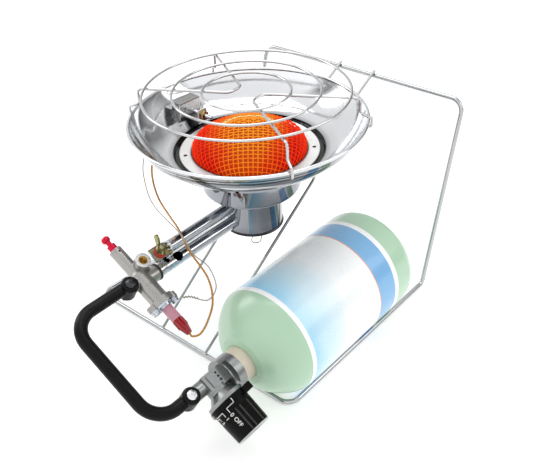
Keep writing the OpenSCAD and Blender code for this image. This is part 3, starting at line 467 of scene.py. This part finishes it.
inField = ramp(tree, alongFilm, [(0.0, 0), (film["field"], 1), (film["lineAt"], 0)], "CONSTANT")
bands = ramp(tree, alongFilm, [(0.0, film["white"]), (film["lineAt"], film["line"]), (film["bandAt"], film["band"]),
                               (film["edgeAt"], film["white"])], "CONSTANT")
printed = mixColors(tree, inField, bands, field)
dress(tree, inputs, placeGroup(tree, grainTree, printed, 0.3, 20.0, 700.0, 0.015, 0.05), (0.05, 0.0001))

# glowing mesh and core: hot in the middle, red towards the rim, with a painted highlight line at the back of the
# crown
heat = {"meshGlow": 1.0, "coreGlow": 0.8, "rim": 0.051, "foot": (0.1635, 0.170), "footGlow": 0.6, "spill": 0.3,
        "flickerSize": 90.0, "flicker": 0.07,
        "sideWay": (0.76, 0.65, 0), "backWay": (-0.65, 0.76, 0), "depthShare": 0.48,
        "glintFrom": (0.008, 0.016), "glintStops": [(0.45, 0), (0.49, 1), (0.54, 1), (0.58, 0)]}


def glowMaterial(name, stops, strength, base, glintColor):
    tree, inputs = newMaterial(name, {"Roughness": 0.6, "Specular IOR Level": 0.05, "Emission Strength": strength,
                                      "Base Color": base})
    place = objectPlace(tree)
    centred, reach = fromBurner(tree, place)
    flicker = noiseWithin(tree, place, heat["flickerSize"], 3.0, heat["flicker"])
    sideways = vectorNode(tree, "DOT_PRODUCT", centred, heat["sideWay"])
    backing = vectorNode(tree, "DOT_PRODUCT", centred, heat["backWay"])
    depth = mathNode(tree, "MULTIPLY", backing, heat["depthShare"])
    column = vectorNode(tree, "LENGTH", addNode(tree, "CombineXYZ", X=sideways, Y=depth).outputs[0])
    column = mathNode(tree, "ADD", mathNode(tree, "DIVIDE", column, heat["rim"]), flicker)
    foot = rescale(tree, axesOf(tree, place)["Z"], *heat["foot"], heat["footGlow"], 1.0)
    glow = vectorNode(tree, "SCALE", ramp(tree, column, stops), foot)
    # painted highlight: a bright line at the back of the crown stands in for a reflection on the wires
    glint = ramp(tree, mathNode(tree, "DIVIDE", reach, heat["rim"]), heat["glintStops"])
    glint = mathNode(tree, "MULTIPLY", rescale(tree, backing, *heat["glintFrom"]), glint)
    glow = mixColors(tree, glint, glow, glintColor)
    seen = addNode(tree, "LightPath").outputs["Is Camera Ray"]
    cast = mixColors(tree, seen, vectorNode(tree, "SCALE", glow, heat["spill"]), glow)
    tree.links.new(cast, inputs["Emission Color"])


glowMaterial("hotMesh", [(0.0, (1.0, 0.37, 0.022)), (0.35, (1.0, 0.28, 0.014)), (0.58, (0.95, 0.11, 0.007)),
                         (0.76, (0.92, 0.030, 0.004))], heat["meshGlow"], (0.03, 0.006, 0.002), (1.0, 0.80, 0.30))
glowMaterial("hotCore", [(0.0, (0.56, 0.085, 0.003)), (0.38, (0.60, 0.070, 0.003)), (0.60, (0.62, 0.020, 0.002)),
                         (0.78, (0.55, 0.004, 0.001))], heat["coreGlow"], (0.02, 0.004, 0.002), (1.0, 0.42, 0.05))


# threads wind round the gas train's own upright direction, from a start in the drawing
def threadMaterial(name, color, start, pitch, depth):
    tree, inputs = newMaterial(name, metal)
    moved = vectorNode(tree, "SUBTRACT", objectPlace(tree), tuple(trainPlace @ Vector(start)))
    upright = tuple(upAxis.rotation_difference(Vector((0, 0, 1))).to_euler())
    turned = addNode(tree, "VectorRotate", {"rotation_type": "EULER_XYZ"}, Vector=moved, Rotation=upright).outputs[0]
    made = placeGroup(tree, grainTree, color, 0.25, 160.0, 2000.0, 0.15, 0.08)
    dress(tree, inputs, made, (1.0, depth), height=placeGroup(tree, threadTree, turned, pitch)["Height"])


threadMaterial("brassThread", (0.66, 0.45, 0.16), (-10.7, -32.8, 8), 0.0011, 0.0004)
threadMaterial("zincThread", (0.60, 0.57, 0.36), (-10.5, -12.5, 10), 0.0007, 0.00025)

finishes = {
    "brightWire": ["front_bar", "left_base_bar", "right_base_bar", "left_upright", "right_upright", "top_bar"],
    "strutWire": ["left_strut", "right_strut"],
    "grilleWire": ["grille_outer_ring", "grille_middle_ring", "grille_inner_ring", "grille_left_wire",
                   "grille_right_wire"],
    "mirrorSheet": ["reflector_bowl"], "cupSheet": ["burner_cup", "mixing_cup"], "tubeChrome": ["mixer_tube"],
    "plainChrome": ["support_arm", "clamp_plate"], "paleSheet": ["flange_ring"], "bracketSheet": ["sensor_bracket"],
    "castAlloy": ["valve_body"], "castZinc": ["regulator_body", "inlet_head"],
    "zincPlate": ["end_cap", "cap_screws", "sensor_probe", "spindle"],
    "darkSteel": ["flange_studs"], "screwSteel": ["banjo_screws"], "yellowZinc": ["wing_nut"],
    "zincThread": ["clamp_stud"], "turnedBrass": ["probe_nut", "cylinder_valve"], "brassThread": ["port_insert"],
    "clipWire": ["cup_tie_wire"], "redFibre": ["fibre_washer"], "blackRubber": ["outlet_seal", "inlet_seal"],
    "redAnodised": ["reset_button"], "blackCoat": ["gas_pipe"], "blackMoulded": ["upper_banjo", "lower_banjo"],
    "knobSkin": ["knob"], "greyRim": ["knob_rim"], "ivoryPlastic": ["neck_collar"],
    "greenPaint": ["cylinder_shell"], "labelFilm": ["label_sleeve"], "pinkSleeve": ["lead_collar"],
    "redPlastic": ["lead_connector"], "darkGasket": ["tray_gasket"], "hotCore": ["inner_diffuser"],
    "hotMesh": ["mesh_dome"], "copperLacquer": ["sensor_lead"], "wornWire": ["earth_wire"],
}
for skin, nodes in finishes.items():
    for node in nodes:
        parts[node].data.materials.clear()
        parts[node].data.materials.append(skins[skin])
leadWire["piece"].data.materials.append(skins["copperLacquer"])
for piece in [earthWire["piece"]] + earthWire["ends"]:
    piece.data.materials.append(skins["wornWire"])
print("finishes are on")


# pieces made here


def arcPoints(middle, radius, first, last, steps):
    turns = [math.radians(first + (last - first) * i / steps) for i in range(steps + 1)]
    return [(middle[0] + radius * math.cos(turn), middle[1] + radius * math.sin(turn)) for turn in turns]


def ringPoints(middle, radius, count):
    return arcPoints(middle, radius, 0, 360 - 360 / count, count - 1)


def asMesh(name, shape):
    mesh = bpy.data.meshes.new(name)
    shape.to_mesh(mesh)
    shape.free()
    return mesh


def addShape(whole, shape):
    mesh = asMesh("added", shape)
    whole.from_mesh(mesh)
    bpy.data.meshes.remove(mesh)


def newPiece(name, shape, skin, body, smooth=True):
    mesh = asMesh(name, shape)
    for face in mesh.polygons:
        face.use_smooth = smooth
    mesh.materials.append(skins[skin])
    piece = addObject(name, mesh)
    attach(piece, body)
    return piece


turning = {"steps": 192, "merge": 0.001, "sharpTurn": 28}


# turns closed outlines of (radius, height) points round Z, sets the piece in its place and cuts it where given
def turnedPiece(name, outlines, place, skin, body, node, cutters=()):
    shape = bmesh.new()
    for outline in outlines:
        ring = bmesh.new()
        verts = [ring.verts.new((r, 0, h)) for r, h in outline]
        closing = verts[:1] if outline[0][0] > 0 else []  # an outline that starts on the axis stays open there
        edges = [ring.edges.new(pair) for pair in zip(verts, verts[1:] + closing)]
        bmesh.ops.spin(ring, geom=verts + edges, cent=(0, 0, 0), axis=(0, 0, 1), dvec=(0, 0, 0), angle=2 * math.pi,
                       steps=turning["steps"], use_merge=True)
        bmesh.ops.remove_doubles(ring, verts=ring.verts, dist=turning["merge"])
        bmesh.ops.recalc_face_normals(ring, faces=ring.faces)
        addShape(shape, ring)
    shape.transform(place)
    piece = newPiece(name, shape, skin, body)
    for cutter in cutters:
        cut = piece.modifiers.new("cut", "BOOLEAN")
        cut.operation = "DIFFERENCE"
        cut.solver = "EXACT"
        cut.use_self = True
        cut.object = cutter
    if cutters:
        mesh = finalMesh(piece)
        piece.modifiers.clear()
        piece.data = mesh
    for cutter in cutters:
        bpy.data.objects.remove(cutter)
    piece.data.set_sharp_from_angle(angle=math.radians(turning["sharpTurn"]))
    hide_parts(node)


def cutterRod(name, place, radius, depth):
    shape = bmesh.new()
    bmesh.ops.create_cone(shape, cap_ends=True, segments=48, radius1=radius, radius2=radius, depth=depth)
    shape.transform(place)
    return addObject(name, asMesh(name, shape))


# reflector: ledge, fold, round wall and rolled rim, with a hole for each loose wire
dish = {"ledgeIn": 45.8, "hole": 67.0, "mouth": 102.5, "rimZ": 195.0, "lipZ": 165.2, "bend": 56.0, "sheet": 0.8,
        "bead": 1.6, "fold": 1.2, "foldRise": 1.0, "wallSteps": 28, "beadSteps": 20, "sensorTurn": 176.0,
        "holeAt": 93.0, "sensorZ": 178.0, "wireHoles": [(0, 2.6), (7.0, 2.0)], "holeDepth": 16.0}
sheet, ledge, wallFoot = dish["sheet"], drawing["ledgeZ"], dish["hole"]
reach, rise = dish["mouth"] - wallFoot, dish["rimZ"] - dish["lipZ"]
chordTurn = math.degrees(math.atan2(rise, reach))
wallRadius = math.hypot(reach, rise) / (2 * math.sin(math.radians(dish["bend"] / 2)))
wallFrom, wallTo = chordTurn - dish["bend"] / 2, chordTurn + dish["bend"] / 2
wallMiddle = (wallFoot - wallRadius * math.sin(math.radians(wallFrom)),
              dish["lipZ"] + wallRadius * math.cos(math.radians(wallFrom)))
bowlOutline = (arcPoints(wallMiddle, wallRadius, wallFrom - 90, wallTo - 90, dish["wallSteps"])
               + arcPoints(wallMiddle, wallRadius + sheet, wallTo - 90, wallFrom - 90, dish["wallSteps"])
               + [(wallFoot + sheet, ledge + dish["foldRise"]), (wallFoot - dish["fold"] + sheet, ledge - sheet),
                  (dish["ledgeIn"], ledge - sheet), (dish["ledgeIn"], ledge), (wallFoot - dish["fold"], ledge),
                  (wallFoot, ledge + dish["fold"])])
beadOutline = ringPoints((dish["mouth"] + sheet, dish["rimZ"]), dish["bead"], dish["beadSteps"])
sensorPlace = burnerPlace @ Matrix.Rotation(math.radians(dish["sensorTurn"]), 4, "Z")
wireHoles = []
for side, hole in dish["wireHoles"]:
    holePlace = Matrix.Translation((dish["holeAt"], side, dish["sensorZ"])) @ Matrix.Rotation(quarter, 4, "Y")
    wireHoles.append(cutterRod("wireHole", sensorPlace @ holePlace, hole, dish["holeDepth"]))
turnedPiece("reflectorBowl", [bowlOutline, beadOutline], burnerPlace, "mirrorSheet", "root",
            "reflector_bowl", wireHoles)

# burner cup with its tray, and the mixing cup below it with the tube's hole
cups = {"trayTop": 159.4, "top": 154.6, "bottom": 126.2, "foot": 87.5, "cup": 44.9, "tray": 60.0, "mix": 27.0,
        "hole": 22.0, "knuckle": 5.0, "knuckleSteps": 12, "roll": 1.2, "rollSteps": 16, "tube": 6.2, "tubeAt": 70,
        "tubeDepth": 20}
trayIn, cupIn, mixIn = cups["tray"] - sheet, cups["cup"] - sheet, cups["mix"] - sheet
knuckleAt = (cups["cup"] - cups["knuckle"], cups["bottom"] + cups["knuckle"])
cupOutline = ([(cups["hole"], cups["bottom"])]
              + arcPoints(knuckleAt, cups["knuckle"], -90, 0, cups["knuckleSteps"])
              + [(cups["cup"], cups["top"]), (cups["tray"], cups["top"]), (cups["tray"], cups["trayTop"]),
                 (trayIn, cups["trayTop"]), (trayIn, cups["top"] + sheet), (cupIn, cups["top"] + sheet)]
              + arcPoints(knuckleAt, cups["knuckle"] - sheet, 0, -90, cups["knuckleSteps"])
              + [(cups["hole"], cups["bottom"] + sheet)])
turnedPiece("burnerCup", [cupOutline], burnerPlace, "cupSheet", "root", "burner_cup")
mixOutline = [(0, cups["foot"]), (cups["mix"], cups["foot"]), (cups["mix"], cups["bottom"]),
              (mixIn, cups["bottom"]), (mixIn, cups["foot"] + sheet), (0, cups["foot"] + sheet)]
rollOutline = ringPoints((cups["mix"], cups["foot"] + cups["roll"]), cups["roll"], cups["rollSteps"])
tubePlace = trainPlace @ Matrix.Translation((0, cups["tubeAt"], 0)) @ Matrix.Rotation(quarter, 4, "X")
turnedPiece("mixingCup", [mixOutline, rollOutline], burnerPlace, "cupSheet", "root", "mixing_cup",
            [cutterRod("tubeHole", tubePlace, cups["tube"], cups["tubeDepth"])])

# mixer tube with its two air holes in the upper side
tube = {"outer": 6.0, "inner": 5.0, "front": -22.0, "back": 75.6, "holes": [(0, 0, 4.5), (-2, -11, 2.5)], "depth": 12}
tubeOutline = [(tube[side], tube[end]) for side, end in (("inner", "front"), ("outer", "front"), ("outer", "back"),
                                                         ("inner", "back"))]
airHoles = [cutterRod("airHole", trainPlace @ Matrix.Translation((side, along, tube["outer"])), radius, tube["depth"])
            for side, along, radius in tube["holes"]]
turnedPiece("mixerTube", [tubeOutline], trainPlace @ Matrix.Rotation(-quarter, 4, "X"), "tubeChrome", "root",
            "mixer_tube", airHoles)

# gas cylinder: pressed shell with a low ring round its neck, and the printed film over its barrel
bottle = {"middle": (90.0, 14.0, 50.0), "radius": 50.0, "film": 0.3, "dome": 38.0, "knuckle": 21.0, "barrel": 137.0,
          "baseKnuckle": 14.0, "dent": 74.0, "dentDepth": 4.0, "neck": 16.5, "seat": 35.0, "seatIn": 0.5,
          "filmEnd": 120.4, "filmShare": 0.375, "ringAt": 21.5, "ringWide": 1.9, "ringHigh": 0.7, "dentTurn": 64,
          "dentSteps": 10, "baseSteps": 14, "knuckleSteps": 16, "crownSteps": 40}
bottlePlace = (Matrix.Translation(spot(*bottle["middle"])) @ Matrix.Rotation(quarter, 4, "X")
               @ Matrix.Scale(unit, 4))


# the knuckle, or its first share, and then the crown of a pressed head
def dishedHead(radius, height, knuckle, share=1.0):
    flatPart, over = radius - knuckle, height - knuckle
    drop = (flatPart ** 2 - over ** 2) / (2 * over)
    meet = math.degrees(math.atan2(drop, flatPart))
    return (arcPoints((flatPart, 0), knuckle, 0, meet * share, bottle["knuckleSteps"]),
            arcPoints((0, -drop), drop + height, meet, 90, bottle["crownSteps"]))


shellRadius = bottle["radius"] - bottle["film"]
knucklePart, crownPart = dishedHead(shellRadius, bottle["dome"], bottle["knuckle"])
ringed = [(r, h + bottle["ringHigh"] * math.exp(-((r - bottle["ringAt"]) / bottle["ringWide"]) ** 2))
          for r, h in crownPart if r > bottle["neck"]]
baseMiddle = -bottle["barrel"] - bottle["baseKnuckle"] - bottle["dent"] + bottle["dentDepth"]
shellOutline = (arcPoints((0, baseMiddle), bottle["dent"], 90, bottle["dentTurn"], bottle["dentSteps"])
                + arcPoints((shellRadius - bottle["baseKnuckle"], -bottle["barrel"]), bottle["baseKnuckle"], -90, 0,
                            bottle["baseSteps"])
                + knucklePart + ringed + [(bottle["neck"] - bottle["seatIn"], bottle["seat"]), (0, bottle["seat"])])
turnedPiece("cylinderShell", [shellOutline], bottlePlace, "greenPaint", "cylinder", "cylinder_shell")
filmOuter = dishedHead(bottle["radius"], bottle["dome"] + bottle["film"], bottle["knuckle"] + bottle["film"],
                       bottle["filmShare"])[0]
filmInner = dishedHead(shellRadius, bottle["dome"], bottle["knuckle"], bottle["filmShare"])[0]
filmOutline = ([(shellRadius, -bottle["filmEnd"]), (bottle["radius"], -bottle["filmEnd"])] + filmOuter
               + filmInner[::-1])
turnedPiece("labelSleeve", [filmOutline], bottlePlace, "labelFilm", "cylinder", "label_sleeve")
print("turned sheet pieces are in")

# step marks on the knob: a number for each step, with a cranked line from it to the knob's foot;
# a step is its number, its turn, the turn of the line's foot and where the line is cranked
dial = {"at": (119.75, -54.0), "radius": 16.0, "skirt": 17.2, "skirtEnd": 4.0, "taper": 0.8 / 30, "proud": 0.06,
        "thick": 0.08, "letter": 3.5, "fontShare": 1.35, "line": 0.5, "lineEnd": 9.2, "lineFoot": 1.2, "gap": 0.05,
        "barStep": 0.8, "numberAt": 10.1, "word": "OFF", "wordAt": 14.2,
        "steps": [("0", 44, 17, 4.9), ("1", 63, 96, 5.2), ("2", 87, 112, 6.6), ("3", 108, 126, 8.2)]}


# lays flat print (x along the knob, y across it) on the knob's round side
def roundKnob(shape, turn, onSkirt=False):
    for vert in shape.verts:
        radius = dial["skirt"] if onSkirt else dial["radius"] - dial["taper"] * vert.co.x
        radius += dial["proud"] + vert.co.z
        angle = math.radians(turn) - vert.co.y / dial["radius"]
        vert.co = Vector((dial["at"][0] + vert.co.x, dial["at"][1] - radius * math.sin(angle),
                          radius * math.cos(angle)))


def printBar(along, across, turn, onSkirt=False):
    bar = bmesh.new()
    long, wide = along[1] - along[0], across[1] - across[0]
    bmesh.ops.create_grid(bar, x_segments=1, y_segments=max(int(wide / dial["barStep"]), 1), size=0.5)
    bmesh.ops.scale(bar, vec=(long, wide, 1), verts=bar.verts)
    bmesh.ops.translate(bar, vec=((along[0] + along[1]) / 2, (across[0] + across[1]) / 2, 0), verts=bar.verts)
    bmesh.ops.solidify(bar, geom=bar.faces[:], thickness=dial["thick"])
    bmesh.ops.recalc_face_normals(bar, faces=bar.faces)
    roundKnob(bar, turn, onSkirt)
    return bar


def printText(word, at, turn):
    text = bpy.data.curves.new(word, "FONT")
    text.body = word
    text.size = dial["letter"] * dial["fontShare"]
    text.align_y = "CENTER"
    text.extrude = dial["thick"] / 2
    drawn = addObject(word, text)
    mesh = finalMesh(drawn)
    bpy.data.objects.remove(drawn)
    letters = bmesh.new()
    letters.from_mesh(mesh)
    bpy.data.meshes.remove(mesh)
    bmesh.ops.remove_doubles(letters, verts=letters.verts, dist=0.0001)
    bmesh.ops.translate(letters, vec=(at, 0, 0), verts=letters.verts)
    roundKnob(letters, turn)
    return letters


marks = bmesh.new()
half = dial["line"] / 2
width = (-half, half)
for number, turn, foot, crank in dial["steps"]:
    lean = math.radians(turn - foot) * dial["radius"]  # how far the line steps aside, measured round the knob
    rows = [printText(number, dial["numberAt"], turn), printBar((crank - half, dial["lineEnd"]), width, turn),
            printBar((crank - half, crank + half), (min(0, lean) - half, max(0, lean) + half), turn),
            printBar((dial["skirtEnd"] + dial["gap"], crank), width, foot),
            printBar((dial["lineFoot"], dial["skirtEnd"]), width, foot, True)]
    if number == "0":
        rows.append(printText(dial["word"], dial["wordAt"], turn))
    for row in rows:
        addShape(marks, row)
marks.transform(trainPlace)
newPiece("stepMarks", marks, "whitePrint", "knob", False)

# raised grip ribs on the side away from the marks, rounded at their ends
grip = {"turns": (25, 10, -20), "from": 9.0, "to": 29.4, "radius": 0.8, "sink": 0.3, "round": 0.5, "even": 0.001}
gripRibs = bmesh.new()
ribPlace = Matrix.Translation(((grip["from"] + grip["to"]) / 2, 0, -grip["sink"])) @ Matrix.Rotation(quarter, 4, "Y")
for turn in grip["turns"]:
    rib = bmesh.new()
    bmesh.ops.create_cone(rib, cap_ends=True, segments=16, radius1=grip["radius"], radius2=grip["radius"],
                          depth=grip["to"] - grip["from"], matrix=ribPlace)
    ends = [edge for edge in rib.edges if abs(edge.verts[0].co.x - edge.verts[1].co.x) < grip["even"]]
    bmesh.ops.bevel(rib, geom=ends, offset=grip["round"], offset_type="OFFSET", affect="EDGES", segments=3,
                    profile=0.5, material=-1)
    roundKnob(rib, turn)
    addShape(gripRibs, rib)
gripRibs.transform(trainPlace)
newPiece("knobRibs", gripRibs, "highlightRib", "knob")
print("knob marks and ribs are in")

# woven steel mesh, laid flat as straight wires and then pressed over the dome
weave = {"pitch": 4.3, "wire": 0.42, "wave": 0.45, "turn": 40.5, "stepsPerPitch": 3, "sides": 6,
         "edge": 12.0, "edgeTurn": math.radians(24.0), "inner": 39.0, "straight": 4.0, "lift": -0.6}
crown = (weave["inner"] + weave["edge"] * math.sin(weave["edgeTurn"])) / math.sin(weave["edgeTurn"])
crownArc = crown * weave["edgeTurn"]
edgeArc = weave["edge"] * (quarter - weave["edgeTurn"])
flatRadius = crownArc + edgeArc + weave["straight"]
crownMiddle = weave["straight"] + (weave["edge"] - crown) * math.cos(weave["edgeTurn"])


def overDome(point):
    reach = math.hypot(point.x, point.y)
    if reach < crownArc:
        lean = reach / crown
        out, up = crown * math.sin(lean), crownMiddle + crown * math.cos(lean)
    elif reach < crownArc + edgeArc:
        lean = weave["edgeTurn"] + (reach - crownArc) / weave["edge"]
        out = weave["inner"] + weave["edge"] * math.sin(lean)
        up = weave["straight"] + weave["edge"] * math.cos(lean)
    else:
        lean = quarter
        out, up = weave["inner"] + weave["edge"], flatRadius - reach
    away = point.z + weave["lift"]
    side = Vector((point.x, point.y)) / max(reach, 1e-6)
    out += away * math.sin(lean)
    return Vector((side.x * out, side.y * out, up + away * math.cos(lean)))


wires = bmesh.new()
count = int(flatRadius / weave["pitch"])
for direction in (0, 1):
    for row in range(-count, count + 1):
        across = row * weave["pitch"]
        half = math.sqrt(flatRadius ** 2 - across ** 2)
        if half < weave["pitch"]:
            continue
        steps = max(int(2 * half / weave["pitch"] * weave["stepsPerPitch"]), 4)
        single = bmesh.new()
        bmesh.ops.create_circle(single, segments=weave["sides"], radius=weave["wire"],
                                matrix=Matrix.Translation((-half, across, 0)) @ Matrix.Rotation(quarter, 4, "Y"))
        bmesh.ops.spin(single, geom=single.edges[:], cent=(0, 0, 0), axis=(1, 0, 0), dvec=(2 * half / steps, 0, 0),
                       angle=0.0, steps=steps, use_merge=False)
        for vert in single.verts:
            sway = weave["wave"] * math.cos(math.pi * vert.co.x / weave["pitch"]) * (-1) ** (row + direction)
            onFlat = Vector((vert.co.x, vert.co.y, vert.co.z + sway))
            vert.co = overDome(onFlat.yxz if direction else onFlat)
        bmesh.ops.recalc_face_normals(single, faces=single.faces)
        addShape(wires, single)
wires.transform(burnerPlace @ Matrix.Translation((0, 0, drawing["ledgeZ"]))
                @ Matrix.Rotation(math.radians(weave["turn"]), 4, "Z"))
wovenMesh = newPiece("wovenMesh", wires, "hotMesh", "root")
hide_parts("mesh_dome")
print("woven mesh is in")

# floor and light
stage = {"size": 8.0, "color": (0.80, 0.80, 0.80), "lift": 0.42}
tree, inputs = newMaterial("floorSheet", {"Roughness": 0.9, "Specular IOR Level": 0.0,
                                          "Emission Color": (1, 1, 1, 1), "Emission Strength": stage["lift"]})
made = placeGroup(tree, grainTree, stage["color"], 0.9, 3.0, 40.0, 0.004, 0.0)
tree.links.new(made["Color"], inputs["Base Color"])
sheetShape = bmesh.new()
bmesh.ops.create_grid(sheetShape, x_segments=1, y_segments=1, size=stage["size"] / 2)
mesh = asMesh("floor", sheetShape)
mesh.materials.append(skins["floorSheet"])
floor = addObject("floor", mesh)

# soft panels: place, aim, size and power
panels = {"overheadPanel": ((-0.25, 0.25, 1.25), (0, 0.02, 0.1), (0.9, 0.7), 5.5),
          "leftPanel": ((-1.1, -0.35, 0.75), (0, 0, 0.1), (0.35, 0.9), 3.5),
          "rightPanel": ((0.9, 0.7, 0.8), (0, 0, 0.1), (0.5, 0.7), 2.5)}
for name, (at, aim, size, power) in panels.items():
    panel = bpy.data.lights.new(name, "AREA")
    panel.shape = "RECTANGLE"
    panel.size, panel.size_y = size
    panel.energy = power
    lamp = addObject(name, panel)
    facing = (Vector(at) - Vector(aim)).to_track_quat("Z", "Y").to_matrix().to_4x4()
    lamp.matrix_world = Matrix.Translation(at) @ facing

# the room: a white tent with dark gaps at eye level, which only gloss picks up; flat light sees it even
room = bpy.data.worlds.new("room")
bpy.context.scene.world = room
room.use_nodes = True
tree = room.node_tree
tree.nodes.clear()
tent = {"byHeight": [(0.0, 0.5), (0.49, 0.24), (0.53, 0.20), (0.58, 0.40), (0.66, 0.75), (0.82, 1.0), (1.0, 0.75)],
        "byTurn": [(0.0, 0.9), (0.085, 1.25), (0.105, 0.3), (0.13, 0.3), (0.155, 1.25), (0.54, 1.1), (0.58, 0.35),
                   (0.64, 0.4), (0.68, 0.75), (0.72, 0.7), (0.75, 0.3), (0.79, 0.3), (0.83, 0.9)],
        "openSide": [(0.0, 1), (0.56, 1), (0.60, 0), (0.80, 0), (0.85, 0.6), (0.97, 1)],
        "open": (0.95, 0.95, 0.95), "white": (1, 1, 1), "gapsEnd": (0.76, 0.90), "gloss": 1.15, "even": 0.80}
axes = axesOf(tree, addNode(tree, "TexCoord").outputs["Generated"])
level = rescale(tree, axes["Z"], -1.0, 1.0)
turn = rescale(tree, mathNode(tree, "ARCTAN2", axes["Y"], axes["X"]), -math.pi, math.pi)
gaps = mixColors(tree, rescale(tree, level, *tent["gapsEnd"]), ramp(tree, turn, tent["byTurn"]), tent["white"])
bright = mixColors(tree, ramp(tree, turn, tent["openSide"]), ramp(tree, level, tent["byHeight"]), tent["open"])
paths = addNode(tree, "LightPath").outputs
gloss, even, plain = [addNode(tree, "Background", Color=color, Strength=strength).outputs[0] for color, strength in (
    (vectorNode(tree, "MULTIPLY", bright, gaps), tent["gloss"]), (tent["white"], tent["even"]), (tent["white"], 1.0))]
joined = addNode(tree, "MixShader", s0=paths["Is Glossy Ray"], s1=even, s2=gloss).outputs[0]
joined = addNode(tree, "MixShader", s0=paths["Is Camera Ray"], s1=joined, s2=plain).outputs[0]
tree.links.new(joined, addNode(tree, "OutputWorld").inputs["Surface"])
bpy.context.scene.view_settings.view_transform = "Standard"
print("floor and light are in")
